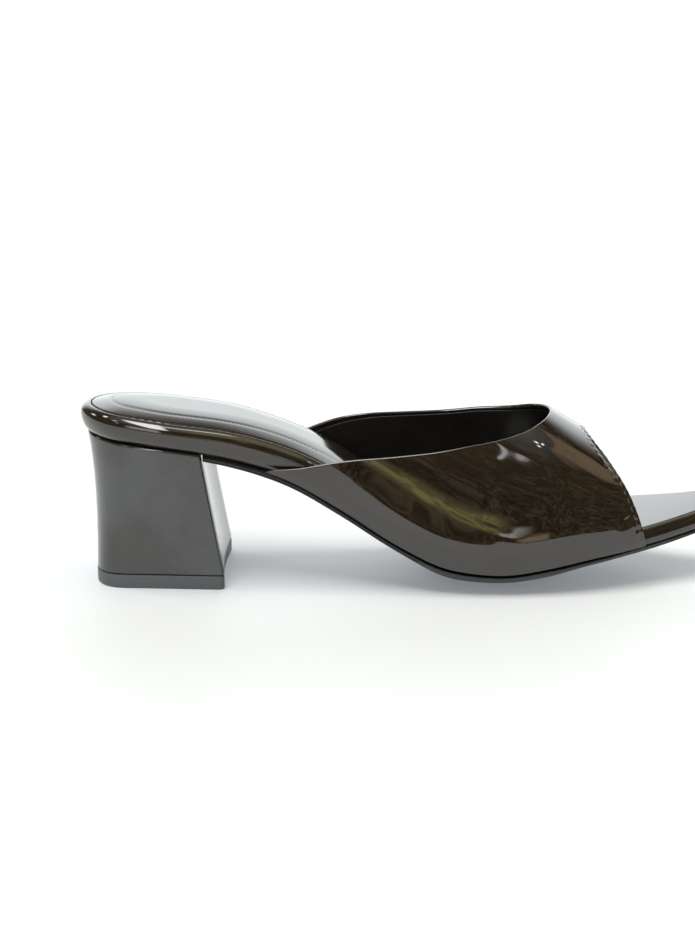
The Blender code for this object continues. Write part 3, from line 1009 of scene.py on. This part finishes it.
@dataclass
class Vamp:
    """The upper: a patent band over the last with turned edges, its lining and its topstitching."""

    last: Last
    bench: Bench
    patent: PatentFinish = PatentFinish("upper_patent", ripple_size=11.0)
    inside: LiningFinish = LiningFinish()
    # Partly painted highlight: this thread's pale brown-grey stands in for the glints that catch the
    # stitches along the toe seam.
    thread: ThreadFinish = ThreadFinish(
        "vamp_thread", (0.060, 0.054, 0.046, 1.0), (0.150, 0.138, 0.120, 1.0), gloss=0.12,
    )
    wall: float = 1.3
    lining_wall: float = 0.26
    lining_bead: float = 0.34
    bead_rise: tuple[float, float] = (0.05, 0.12)
    glue: float = 0.03
    strip: float = 2.6
    lining_foot: float = 0.012
    lining_steps: int = 4
    girth_lines: int = 330
    margin: float = 5.0
    margin_lines: int = 13
    middle_lines: int = 84
    roll_steps: int = 5
    skived: float = 0.012
    seam_inset: float = 1.85
    seam_rise: float = 0.03
    seam_ends: int = 4
    groove: float = 0.19
    groove_width: float = 0.6
    groove_wave: float = 0.35
    pucker: float = 0.12
    pucker_off: float = 1.7
    crease_rise: float = 0.06
    stitch: StitchRow = StitchRow(1.9, 3.1, 0.45, 0.03)

    def __post_init__(self) -> None:
        """Lays out the outer face."""
        self.girth = np.linspace(0, 1, self.girth_lines + 1)[:, None]
        self.stations = self._stations(self.wall / 2)
        self.outer = self.last.surface(self.stations, self.girth)
        self._sew()
        self._crease()
        self.normals = self._normals(self.outer)

    def _stations(self, setback: float) -> np.ndarray:
        """Stations of the outer face, line by line.

        Args:
            setback: How far the face ends before the cuts, to leave room for the turned edges.

        Returns:
            Stations (line, column), close together near both cuts.
        """
        collar, toe = self.last.collar(self.girth), self.last.toe(self.girth)
        near = np.linspace(setback, self.margin, self.margin_lines)[None, :]
        share = np.linspace(0, 1, self.middle_lines)[None, 1:-1]
        start, end = collar + self.margin, toe - self.margin
        return np.concatenate((collar + near, start + (end - start) * share, toe - near[:, ::-1]), axis=1)

    def _normals(self, points: np.ndarray) -> np.ndarray:
        """Directions out of a face of the vamp."""
        return unit(np.cross(np.gradient(points, axis=1), np.gradient(points, axis=0)))

    def _off_feet(self, start: float, full: float) -> np.ndarray:
        """Rises from 0 to 1 between two places over the girth, away from both feet."""
        return smooth_step(start, full, self.girth) * smooth_step(start, full, 1 - self.girth)

    def _sew(self) -> None:
        """Sinks the topstitched seam along the toe cut and puckers the leather on both sides."""
        edge = self.outer[:, -1]
        ahead = unit(np.gradient(edge, axis=0))
        reach = self.outer - edge[:, None]
        slide = np.einsum("ijk,ik->ij", reach, ahead)
        self.seam_along = run_lengths(edge)[:, None] + slide
        inset = np.linalg.norm(reach - slide[..., None] * ahead[:, None], axis=-1)
        self.seam_distance = inset + self.wall / 2
        off = (self.seam_distance - self.seam_inset) / self.groove_width
        wave = np.cos(2 * math.pi * self.seam_along / self.stitch.pitch)
        sink = self.groove * np.exp(-off * off) * (1 - self.groove_wave * wave)
        swell = self.pucker * np.exp(-(np.abs(off) - self.pucker_off) ** 2) * (1 + wave) / 2
        rise = (swell - sink) * self._off_feet(0.0, self.seam_rise)
        self.outer = self.outer + self._normals(self.outer) * rise[..., None]

    def _crease(self) -> None:
        """Presses the creases into the outer face."""
        girth_length = float(run_lengths(self.outer.swapaxes(0, 1))[:, -1].mean())
        drop = sum(crease.drop(self.stations, self.girth, girth_length) for crease in CREASES)
        drop = drop * self._off_feet(0.0, self.crease_rise)
        self.outer = self.outer - self._normals(self.outer) * drop[..., None]

    def _depth(self, depth: float | np.ndarray) -> np.ndarray:
        """Points (line, column, 3) of a face inside the wall, at a depth that runs out at both feet."""
        return self.outer - self.normals * (depth * self._off_feet(0.0, self.skived))[..., None]

    def leather(self) -> None:
        """The patent band with its two turned edges."""
        band = sheet_band(self.outer, self._depth(self.wall), self.roll_steps)
        self.bench.piece(grid_mesh(band), "vamp_leather", self.patent, Slot.UPPER, "upper")

    def lining(self) -> None:
        """The lining between the turned strips."""
        margin = np.linspace(self.wall / 2, self.margin, self.margin_lines)
        edge = int(np.searchsorted(margin, self.strip))
        foot = int(self.lining_foot * self.girth_lines)
        bead = self.lining_bead * self._off_feet(*self.bead_rise)
        face, back = (
            self._depth(depth)[foot:-foot, edge:-edge]
            for depth in (self.wall + self.glue + self.lining_wall + bead, self.wall + self.glue)
        )
        band = sheet_band(face, back, self.lining_steps)
        self.bench.piece(grid_mesh(band), "vamp_lining", self.inside, Slot.LINING)

    def topstitch(self) -> None:
        """The row of stitches along the toe cut."""
        rows = np.concatenate((self.outer, self.normals, self.seam_along[..., None]), axis=-1)[:, ::-1]
        lines = slice(self.seam_ends, -self.seam_ends)
        pairs = zip(rows[lines], self.seam_distance[lines, ::-1])
        seam = np.stack([read_row(row, distance, self.seam_inset) for row, distance in pairs])
        stitches = self.stitch.mesh(seam[:, :3], seam[:, 3:6], seam[:, 6])
        self.bench.piece(stitches, "vamp_topstitch", self.thread, Slot.THREAD)

    def build(self) -> None:
        """Makes the upper's pieces."""
        self.leather()
        self.lining()
        self.topstitch()


@dataclass
class Footbed:
    """The wrapped footbed with its padded roll, the pillowed insole in it and its two seams."""

    last: Last
    bench: Bench
    patent: PatentFinish = PatentFinish("footbed_patent", ripple=0.012)
    sock: PatentFinish = PatentFinish("insole_patent", gloss=0.09, smear=0.06, ripple=0.012)
    thread: ThreadFinish = ThreadFinish()
    seat_thread: ThreadFinish = ThreadFinish(
        "seat_thread", (0.15, 0.145, 0.14, 1.0), (0.32, 0.31, 0.30, 1.0),
    )
    stations: int = 300
    profile_points: int = 44
    profile_softness: float = 0.35
    columns: int = 128
    body_columns: int = 64
    foot_inset: float = 2.8
    full_rim: float = 9.8
    toe_slump: float = 1.5
    slump_reach: tuple[float, float] = (150.0, 200.0)
    seam_share: float = 0.944
    seam_setback: float = 3.95
    seam_sunk: float = 0.12
    seam_end: float = 165.0
    insole_setback: float = 4.08
    insole_round: float = 0.3
    insole_depth: float = 1.4
    round_steps: int = 5
    recess: float = 0.3
    seat_pillow: float = 2.55
    toe_pillow: float = 0.15
    pillow_fade: tuple[float, float] = (90.0, 190.0)
    pillow_reach: float = 17.0
    seat_seam: float = 7.6
    seat_proud: float = 0.03
    seat_groove: float = 0.12
    seat_groove_width: float = 1.1
    seat_end: tuple[float, float] = (88.0, 106.0)
    edge_stitch: StitchRow = StitchRow(1.7, 3.1, 0.5, 0.0)
    seat_stitch: StitchRow = StitchRow(0.85, 1.5, 0.24, 0.02)

    def _trim(self, x: np.ndarray) -> np.ndarray:
        """How much smaller the roll is towards the toe."""
        return np.minimum(self.last.sole["rim"](x) / self.full_rim, 1)

    def _ring(self, offset: float, beyond: float = 0.0) -> np.ndarray:
        """The plan moved by an offset that shrinks with the roll, and by one that doesn't."""
        x = self.last.plan_ring(self.stations, 0.0)[:-1, 0]
        return self.last.plan_ring(self.stations, offset * self._trim(x) + beyond)

    def _seam_z(self, x: np.ndarray) -> np.ndarray:
        """Height of the seam between roll and insole."""
        return self.last.sole["edge_z"](x) + self.seam_share * self.last.sole["rim"](x)

    def _sock_z(self, x: np.ndarray, y: np.ndarray) -> np.ndarray:
        """Height of the insole's upper face.

        Args:
            x: Stations along the shoe.
            y: Distances from the long axis.

        Returns:
            Heights of the padded face, with the groove of the seat's own seam.
        """
        inside = np.maximum(self.last.edge_distance(x, y) - self.insole_setback * self._trim(x), 0)
        fall = (1 - np.minimum(inside / self.pillow_reach, 1)) ** 2
        groove = self.seat_groove * np.exp(-((inside - self.seat_seam) / self.seat_groove_width) ** 2)
        groove = groove * (1 - smooth_step(*self.seat_end, x))
        fade = smooth_step(*self.pillow_fade, x)
        pillow = self.seat_pillow + (self.toe_pillow - self.seat_pillow) * fade
        return self._seam_z(x) + pillow * (1 - fall) - groove

    def _rim(self) -> np.ndarray:
        """The roll, from the underside out and up, over the top and down into the recess.

        Returns:
            Closed rings (ring, point, 3), one above the other.
        """
        along = np.linspace(0, RIM.column("along")[-1], self.profile_points)
        curves = {name: RIM.curve(name, self.profile_softness) for name in RIM.columns[1:]}
        rings = []
        for place in along:
            plan = self._ring(float(curves["offset"](place)))
            x = plan[:, 0]
            slump = 1 + self.toe_slump * smooth_step(*self.slump_reach, x)
            part = max(float(curves["share"](place)) / self.seam_share, 0.0)
            share = self.seam_share * part ** slump
            height = self.last.sole["edge_z"](x) + share * self.last.sole["rim"](x)
            rings.append(raised(plan, height + curves["rise"](place)))
        return np.stack(rings)

    def _cap(self, ring: np.ndarray, height: np.ndarray) -> np.ndarray:
        """Rows across a ring whose edges keep the ring's own heights.

        Args:
            ring: Closed ring (point, 3).
            height: Heights (station, column) between its edges.

        Returns:
            Points (station, column, 3).
        """
        columns = height.shape[1] - 1
        rows = raised(across(ring[:, :2], columns), height)
        edges = across(ring[:, 2:], columns)[..., 0]
        rows[:, 0, 2], rows[:, -1, 2] = edges[:, 0], edges[:, -1]
        rows[0, :, 2], rows[-1, :, 2] = edges[0], edges[-1]
        return rows

    def body(self) -> None:
        """The wrapped body with its padded roll."""
        rim = self._rim()
        foot = across(rim[0, :, :2], self.body_columns)
        edge = foot[..., 1] + np.sign(foot[..., 1]) * self.foot_inset * self._trim(foot[..., 0])
        under = self._cap(rim[0], self.last.underside_z(foot[..., 0], edge))
        floor = across(rim[-1, :, :2], self.body_columns)
        top = self._cap(rim[-1], self._seam_z(floor[..., 0]) - self.insole_depth - self.recess)
        bm = grid_mesh(rim, under, top)
        made = self.bench.piece(bm, "footbed_body", self.patent, Slot.FOOTBED, "footbed")

    def insole(self) -> None:
        """The padded insole in the recess."""
        rounding = np.array(quarter_round(self.round_steps)) * self.insole_round
        rings = []
        for inset, drop in ((0.0, self.insole_depth), *rounding):
            plan = self._ring(-self.insole_setback, -inset)
            rings.append(raised(plan, self._seam_z(plan[:, 0]) - drop))
        grids = [np.stack(rings)]
        for ring, drop in ((rings[0], self.insole_depth), (rings[-1], 0.0)):
            plan = across(ring[:, :2], self.columns)
            grids.append(self._cap(ring, self._sock_z(plan[..., 0], plan[..., 1]) - drop))
        made = self.bench.piece(grid_mesh(*grids), "insole_sock", self.sock, Slot.FOOTBED, "insole")

    def _sew(self, row: StitchRow, path: np.ndarray, end: float) -> bmesh.types.BMesh:
        """A row of stitches round the heel.

        Args:
            row: The stitches.
            path: Closed ring of points of the seam.
            end: Station at which the row ends on both sides.

        Returns:
            The stitches' mesh.
        """
        path = np.roll(path[:-1], len(path) // 2, axis=0)
        path = path[path[:, 0] < end]
        up = np.broadcast_to(np.array((0.0, 0.0, 1.0)), path.shape)
        return row.mesh(path, up, run_lengths(path))

    def seams(self) -> None:
        """The stitches round the insole's edge and round the heel seat."""
        plan = self._ring(-self.seam_setback)
        path = raised(plan, self._seam_z(plan[:, 0]) - self.seam_sunk)
        edge = self._sew(self.edge_stitch, path, self.seam_end)
        self.bench.piece(edge, "insole_seam", self.thread, Slot.THREAD)
        plan = self._ring(-self.insole_setback, -self.seat_seam)
        path = raised(plan, self._sock_z(plan[:, 0], plan[:, 1]) + self.seat_proud)
        seat = self._sew(self.seat_stitch, path, self.seat_end[0])
        self.bench.piece(seat, "seat_seam", self.seat_thread, Slot.THREAD)

    def build(self) -> None:
        """Makes the footbed's pieces."""
        self.body()
        self.insole()
        self.seams()


@dataclass(frozen=True)
class HeelPlan:
    """The heel's plan at one level."""

    breast_half: float
    back_half: float
    round_reach: float
    squareness: float
    breast_x: float
    back_x: float


@dataclass
class Heel:
    """The covered block heel with its breast panel and its tip."""

    last: Last
    bench: Bench
    # Painted reflection, in part: the heel's patent gets a paler, bluish-grey first colour than the other
    # patent pieces, standing in for the pale floor mirrored in the heel's sides.
    patent: PatentFinish = PatentFinish(
        "heel_patent", (0.0470, 0.0530, 0.0550, 1.0), (0.0180, 0.0155, 0.0150, 1.0),
        ripple=0.010, ripple_size=12.0, cloud_size=26.0,
    )
    rubber: RubberFinish = RubberFinish(
        "tip_rubber", (0.098, 0.113, 0.125, 1.0), (0.138, 0.152, 0.164, 1.0),
    )
    floor_plan: HeelPlan = HeelPlan(27.6, 25.6, 15.0, 3.2, 52.8, 5.4)
    seat_plan: HeelPlan = HeelPlan(27.4, 27.6, 30.0, 2.1, 44.8, 2.4)
    middle: tuple[float, float] = (26.0, 0.0)
    back_power: float = 3.0
    breast_hollow: float = 1.2
    corner: float = 1.7
    shoulder: float = 0.75
    shoulder_steps: int = 6
    foot_round: float = 0.4
    tip_height: float = 5.0
    tip_bevel: float = 0.5
    round_steps: int = 4
    seam_gap: float = 0.3
    seat_gap: float = 0.12
    levels: int = 48
    round_points: int = 160
    back_points: int = 180
    breast_points: int = 40
    corner_points: int = 5
    plan_softness: float = 2.5
    panel_margin: float = 2.4
    panel_proud: float = 0.22
    panel_sunk: float = 0.25
    panel_span: tuple[float, float] = (0.012, 0.985)
    panel_steps: int = 3

    def _plan(self, level: float) -> HeelPlan:
        """The plan's sizes at a level.

        Args:
            level: From floor (0) to seat (1).

        Returns:
            The sizes.
        """
        sizes = {}
        for name, low in vars(self.floor_plan).items():
            share = level ** self.back_power if name == "back_x" else level
            sizes[name] = low + share * (getattr(self.seat_plan, name) - low)
        return HeelPlan(**sizes)

    def _back(self, sizes: HeelPlan) -> np.ndarray:
        """The sides and back in plan, from the medial to the lateral corner of the breast.

        Args:
            sizes: The plan's sizes at the level.

        Returns:
            Evenly spaced points (point, 2).
        """
        turn = np.linspace(math.pi / 2, 0, self.round_points)
        power = 2 / sizes.squareness
        round_x = sizes.back_x + sizes.round_reach
        x = round_x - sizes.round_reach * np.clip(np.cos(turn), 0, 1) ** power
        y = sizes.back_half * np.clip(np.sin(turn), 0, 1) ** power
        corner = np.array(((sizes.breast_x - self.corner, sizes.breast_half),))
        half = np.concatenate((corner, np.stack((x, y), axis=-1)))
        whole = np.concatenate((half, half[-2::-1] * (1, -1)))
        along = run_lengths(whole)
        even = read_row(whole, along, np.linspace(0, along[-1], self.back_points))
        return np.apply_along_axis(soften, 0, even, self.plan_softness * self.back_points / along[-1])

    def _breast(self, sizes: HeelPlan, margin: float, proud: float) -> np.ndarray:
        """The breast in plan, from the lateral to the medial side.

        Args:
            sizes: The plan's sizes at the level.
            margin: How far it stops before the corners.
            proud: How far it stands out of the heel.

        Returns:
            Points (point, 2).
        """
        flat = sizes.breast_half - self.corner
        share = np.linspace(-1, 1, self.breast_points) * (flat - margin) / flat
        x = sizes.breast_x - self.breast_hollow * (1 - share * share) + proud
        return np.stack((x, flat * share), axis=-1)

    def ring(self, level: float, inset: float = 0.0) -> np.ndarray:
        """The heel in plan as a closed ring.

        Args:
            level: From floor (0) to seat (1).
            inset: How far it is drawn in.

        Returns:
            Points (point, 2). The last is the first.
        """
        sizes = self._plan(level)
        back, breast = self._back(sizes), self._breast(sizes, 0.0, 0.0)
        turns = np.linspace(0, math.pi / 2, self.corner_points + 2)[1:-1, None]
        turned = np.concatenate((np.sin(turns), 1 - np.cos(turns)), axis=1) * self.corner
        lateral = back[-1] + turned
        medial = (back[0] + turned * (1, -1))[::-1]
        ring = np.concatenate((back, lateral, breast, medial, back[:1]))
        return ring + unit(np.array(self.middle) - ring) * inset

    def _seat(self, x: np.ndarray) -> np.ndarray:
        """Height of the heel's seat under the footbed."""
        return self.last.sole["edge_z"](x) - self.seat_gap

    def _height(self, x: np.ndarray, level: float) -> np.ndarray:
        """Height of a level of the heel's sides."""
        foot = self.tip_height + self.seam_gap
        return foot + level * (self._seat(x) - self.shoulder - foot)

    def cover(self) -> None:
        """The covered block with its rounded shoulder."""
        rings = []
        for come, left in quarter_round(self.round_steps):
            plan = self.ring(0.0, self.foot_round * left)
            rings.append(raised(plan, self._height(plan[:, 0], 0.0) + self.foot_round * come))
        for level in np.linspace(0, 1, self.levels)[1:]:
            plan = self.ring(level)
            rings.append(raised(plan, self._height(plan[:, 0], level)))
        for come, left in quarter_round(self.shoulder_steps)[1:]:
            plan = self.ring(1.0, self.shoulder * come)
            rings.append(raised(plan, self._seat(plan[:, 0]) - self.shoulder * left))
        self.bench.piece(grid_mesh(np.stack(rings)), "heel_cover", self.patent, Slot.HEEL, "heel")

    def panel(self) -> None:
        """The panel on the breast, between the cover's turned margins."""
        faces = []
        for proud in (self.panel_proud, -self.panel_sunk):
            rows = []
            for level in np.linspace(*self.panel_span, self.levels):
                plan = self._breast(self._plan(level), self.panel_margin, proud)
                rows.append(raised(plan, self._height(plan[:, 0], level)))
            faces.append(np.stack(rows))
        band = sheet_band(faces[0], faces[1], self.panel_steps)
        self.bench.piece(grid_mesh(band), "heel_breast_panel", self.patent, Slot.HEEL)

    def tip(self) -> None:
        """The replaceable tip that the heel stands on."""
        bevel = np.array(quarter_round(self.round_steps)) * self.tip_bevel
        levels = [(left, come) for come, left in bevel]
        levels += [(inset, self.tip_height - height) for inset, height in levels[::-1]]
        rings = np.stack([raised(self.ring(0.0, inset), height) for inset, height in levels])
        self.bench.piece(grid_mesh(rings), "heel_tip_lift", self.rubber, Slot.TIP, "heel_tip")

    def build(self) -> None:
        """Makes the heel's pieces."""
        self.tip()
        self.cover()
        self.panel()


@dataclass
class Outsole:
    """The thin outsole from the heel breast to the toe."""

    last: Last
    bench: Bench
    heel: Heel
    rubber: RubberFinish = RubberFinish(
        "outsole_rubber", (0.034, 0.036, 0.039, 1.0), (0.065, 0.068, 0.072, 1.0),
    )
    thickness: float = 2.0
    seam_gap: float = 0.3
    clearance: float = 0.8
    stations: int = 200
    columns: int = 100
    edge_steps: int = 5
    edge_squareness: float = 3.0
    rabbet: float = 0.75
    rabbet_share: tuple[float, float] = (0.92, 0.965)
    groove_share: float = 0.84
    groove_width: float = 0.022
    groove: float = 0.35

    def _plan(self) -> np.ndarray:
        """Rows across the outsole.

        Returns:
            Points (row, column, 2) from the breast to the toe tip.
        """
        plain = self.last.plan_ring(self.stations, 0.0)
        proud = self.last.sole["sole_proud"](plain[:-1, 0])
        rows = across(self.last.plan_ring(self.stations, proud), self.columns)
        start = self.heel.seat_plan.breast_x + self.clearance
        kept = rows[rows[:, 0, 0] > start + self.heel.corner]
        share = np.linspace(-1, 1, self.columns + 1)
        sides = np.array((-1.0, 1.0))
        ends = sides * (self.last.half_width(np.full(2, start), sides) + self.last.sole["sole_proud"](start))
        y = ends[0] + (share + 1) / 2 * (ends[1] - ends[0])
        x = start - self.heel.breast_hollow * (1 - share * share)
        return np.concatenate((np.stack((x, y), axis=-1)[None], kept))

    def build(self) -> None:
        """Makes the outsole with its rounded edge and the groove round its tread."""
        plan = self._plan()
        x, y = plan[..., 0], plan[..., 1]
        top = self.last.underside_z(x, y) - self.seam_gap
        share = np.abs(np.linspace(-1, 1, self.columns + 1))[None, :]
        groove = self.groove * np.exp(-((share - self.groove_share) / self.groove_width) ** 2)
        tread = self.last.sole["tread"](x)
        rabbet = self.rabbet * (tread / self.thickness) ** 2
        bottom = np.maximum(top - tread, 0.0) + groove
        top = top - rabbet * smooth_step(*self.rabbet_share, share)
        edge = (tread - rabbet)[:, (0, -1)] / 2
        upper, lower = raised(plan, top), raised(plan, bottom)
        upper[:, (0, -1), 1] *= 1 - edge / np.maximum(np.abs(upper[:, (0, -1), 1]), 2 * edge)
        lower[:, (0, -1), 1] = upper[:, (0, -1), 1]
        band = sheet_band(upper, lower, self.edge_steps, self.edge_squareness)
        self.bench.piece(grid_mesh(band), "outsole_sheet", self.rubber, Slot.OUTSOLE, "outsole")


@dataclass(frozen=True)
class Card:
    """A card of light in the room, as seen from the shoe.

    An overhead card counts its two angles from the zenith, towards the toe and towards the
    camera, in place of azimuth and elevation.
    """

    azimuth: float
    elevation: float
    half_width: float
    half_height: float
    colour: tuple[float, float, float]
    softness: float = 0.5
    mottle: float = 0.0
    lean: float = 0.0
    overhead: bool = False

    def mask(self, shader: Shader, azimuth: Value, elevation: Value) -> Value:
        """Where the card is.

        Args:
            shader: The world's nodes.
            azimuth: The first of the two angles that the card is placed by, in radians.
            elevation: The second of them, in radians.

        Returns:
            1 on the card and 0 beside it.
        """
        ahead = azimuth - math.radians(self.azimuth)
        up = elevation - math.radians(self.elevation)
        if self.lean:
            ahead, up = leaning(ahead, up, self.lean)
        ahead = abs(ahead) / math.radians(self.half_width)
        up = abs(up) / math.radians(self.half_height)
        near, far = 1 - self.softness, 1 + self.softness
        return shader.ramp(ahead, far, near) * shader.ramp(up, far, near)


@dataclass(frozen=True)
class Studio:
    """The pale floor, the room with its cards of light and the camera."""

    floor_reach: float = 12.0
    floor_roughness: float = 0.6
    floor_cloud: float = 40.0
    floor_dim: float = 0.985
    floor_colour: tuple[float, ...] = (0.80, 0.825, 0.85, 1.0)
    floor_glow: tuple[float, ...] = (0.17, 0.18, 0.195, 1.0)
    back_light: tuple[float, ...] = (1.88, 1.98, 2.01, 1.0)
    front_shade: tuple[float, ...] = (0.022, 0.014, 0.006, 1.0)
    front_leaf: tuple[float, ...] = (0.330, 0.262, 0.165, 1.0)
    ceiling: tuple[float, ...] = (0.45, 0.45, 0.44, 1.0)
    back_way: tuple[float, float, float] = (0.242, 0.970, 0.0)
    back_turn: tuple[float, float] = (0.64, 0.88)
    back_rise: tuple[float, float] = (0.73, 0.41)
    ceiling_rise: tuple[float, float] = (0.74, 0.92)
    mottle_scale: float = 24.0
    mottle_detail: float = 4.0
    mottle_roughness: float = 0.7
    mottle_swirl: float = 1.2
    patch_edge: tuple[float, float] = (0.44, 0.62)
    cards: tuple[Card, ...] = (
        Card(25.0, 38.0, 36.0, 16.0, (0.085, 0.062, 0.026), 0.7, 1.0),
        Card(82.0, 71.5, 62.0, 10.0, (0.95, 0.88, 0.46), 0.15, 0.3),
        Card(-4.0, 7.8, 10.0, 2.4, (1.25, 1.15, 0.42), 0.5, 0.9),
        Card(95.0, 50.5, 20.0, 5.0, (1.05, 0.74, 0.45), 0.2, 0.5),
        Card(8.5, 6.0, 3.4, 1.4, (2.4, 2.3, 2.1), 0.5, 0.5),
        Card(14.5, 2.0, 3.0, 1.6, (1.3, 0.95, 0.65), 0.5, 0.4),
        Card(28.6, 44.8, 8.0, 0.3, (3.4, 3.4, 3.4), 0.2, 0.0, 36.0),
        Card(72.6, 59.5, 1.5, 0.3, (10.0, 10.0, 9.6), 0.3),
        Card(68.0, 58.4, 1.5, 0.3, (10.0, 10.0, 9.6), 0.3),
        Card(75.8, 58.4, 1.5, 0.3, (10.0, 10.0, 9.6), 0.3),
        Card(-9.0, 12.0, 8.0, 22.0, (9.0, 9.0, 8.8), 0.25, overhead=True),
        Card(7.0, -3.0, 8.5, 3.5, (5.0, 4.9, 4.6), 0.4, overhead=True),
        Card(-124.0, 31.0, 5.0, 3.5, (6.0, 6.0, 5.8), 0.5),
        Card(-123.0, 51.0, 6.0, 3.0, (8.0, 8.0, 7.8), 0.5),
        Card(-83.0, 59.0, 4.5, 3.5, (7.0, 7.0, 6.8), 0.5),
        Card(-56.0, 39.0, 3.0, 3.0, (5.0, 4.6, 4.2), 0.5),
        Card(-27.0, 22.0, 13.0, 14.0, (2.0, 2.0, 1.9), 0.3),
    )
    camera_place: tuple[float, float, float] = (-0.02509, -0.82056, 0.2328)
    camera_pitch: float = 13.5
    focal_pixels: float = 2301.4
    photo_height: float = 949.0
    sensor: float = 36.0

    def floor(self) -> None:
        """The floor, a white table that is lit from below as well."""
        bm = bmesh.new()
        bmesh.ops.create_grid(bm, x_segments=8, y_segments=8, size=self.floor_reach)
        material, shader, paint = new_material("floor_paint")
        shade = shader.noise(self.floor_cloud, 3.0)
        dim = tuple(self.floor_dim * part for part in self.floor_colour[:3]) + (1.0,)
        shader.feed(paint.inputs["Base Color"], shader.blend(shade, self.floor_colour, dim))
        paint.inputs["Roughness"].default_value = self.floor_roughness
        paint.inputs["Emission Color"].default_value = self.floor_glow
        paint.inputs["Emission Strength"].default_value = 1.0
        new_object(bm, "floor", material)

    def room(self) -> None:
        """The room's light: bright behind the shoe, dim with a few cards on the camera's side."""
        world = bpy.data.worlds.new("room")
        world.use_nodes = True
        bpy.context.scene.world = world
        shader = Shader(world.node_tree)
        way = shader.add("ShaderNodeTexCoord").outputs["Generated"]
        level = shader.add("ShaderNodeVectorMath", {"operation": "MULTIPLY"}, {0: way, 1: (1.0, 1.0, 0.0)})
        plan = shader.add("ShaderNodeVectorMath", {"operation": "NORMALIZE"}, {0: level.outputs[0]})
        height = shader.dot(way, (0.0, 0.0, 1.0))
        back = shader.ramp(shader.dot(plan.outputs[0], self.back_way), *self.back_turn)
        mottle = shader.add("ShaderNodeTexNoise", None, {
            "Vector": way, "Scale": self.mottle_scale, "Detail": self.mottle_detail,
            "Roughness": self.mottle_roughness, "Distortion": self.mottle_swirl,
        })
        patches = shader.ramp(Value(shader, mottle.outputs[0]), *self.patch_edge)
        front = shader.blend(patches, self.front_shade, self.front_leaf)
        light = shader.blend(shader.ramp(height, *self.ceiling_rise), front, self.ceiling)
        light = shader.blend(back * shader.ramp(height, *self.back_rise), light, self.back_light)
        parts = shader.add("ShaderNodeSeparateXYZ", None, {0: way}).outputs
        toeward, nearward = Value(shader, parts[0]), -1 * Value(shader, parts[1])
        angles = toeward.angle(nearward), height.angle(shader.length(level.outputs[0]))
        roof_angles = toeward.angle(height), nearward.angle(height)
        for card in self.cards:
            seen = roof_angles if card.overhead else angles
            mask = card.mask(shader, *seen) * (1 - card.mottle * patches)
            light = shader.blend(mask, light, card.colour + (1.0,))
        shader.feed(world.node_tree.nodes["Background"].inputs["Color"], light)

    def camera(self) -> None:
        """The camera, at the photograph's place and angle."""
        data = bpy.data.cameras.new("camera")
        data.sensor_fit = "VERTICAL"
        data.sensor_height = self.sensor
        data.lens = self.focal_pixels * self.sensor / self.photo_height
        made = bpy.data.objects.new("camera", data)
        made.location = self.camera_place
        made.rotation_euler = (math.radians(90 - self.camera_pitch), 0.0, 0.0)
        bpy.context.scene.collection.objects.link(made)
        bpy.context.scene.camera = made

    def build(self) -> None:
        """Sets up the whole studio."""
        self.camera()
        self.room()
        self.floor()
        bpy.context.scene.view_settings.view_transform = "Standard"


def main() -> None:
    """Builds the studio and the shoe, piece by piece."""
    logging.basicConfig(level=logging.INFO, format="%(message)s")
    Studio().build()
    tip_low, tip_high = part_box("heel_tip")
    bench = Bench(heel_back=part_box("footbed")[0].x, axis=(tip_low.y + tip_high.y) / 2)
    last = Last()
    heel = Heel(last, bench)
    for part in (Outsole(last, bench, heel), heel, Footbed(last, bench), Vamp(last, bench)):
        part.build()


if __name__ == "__main__":
    main()
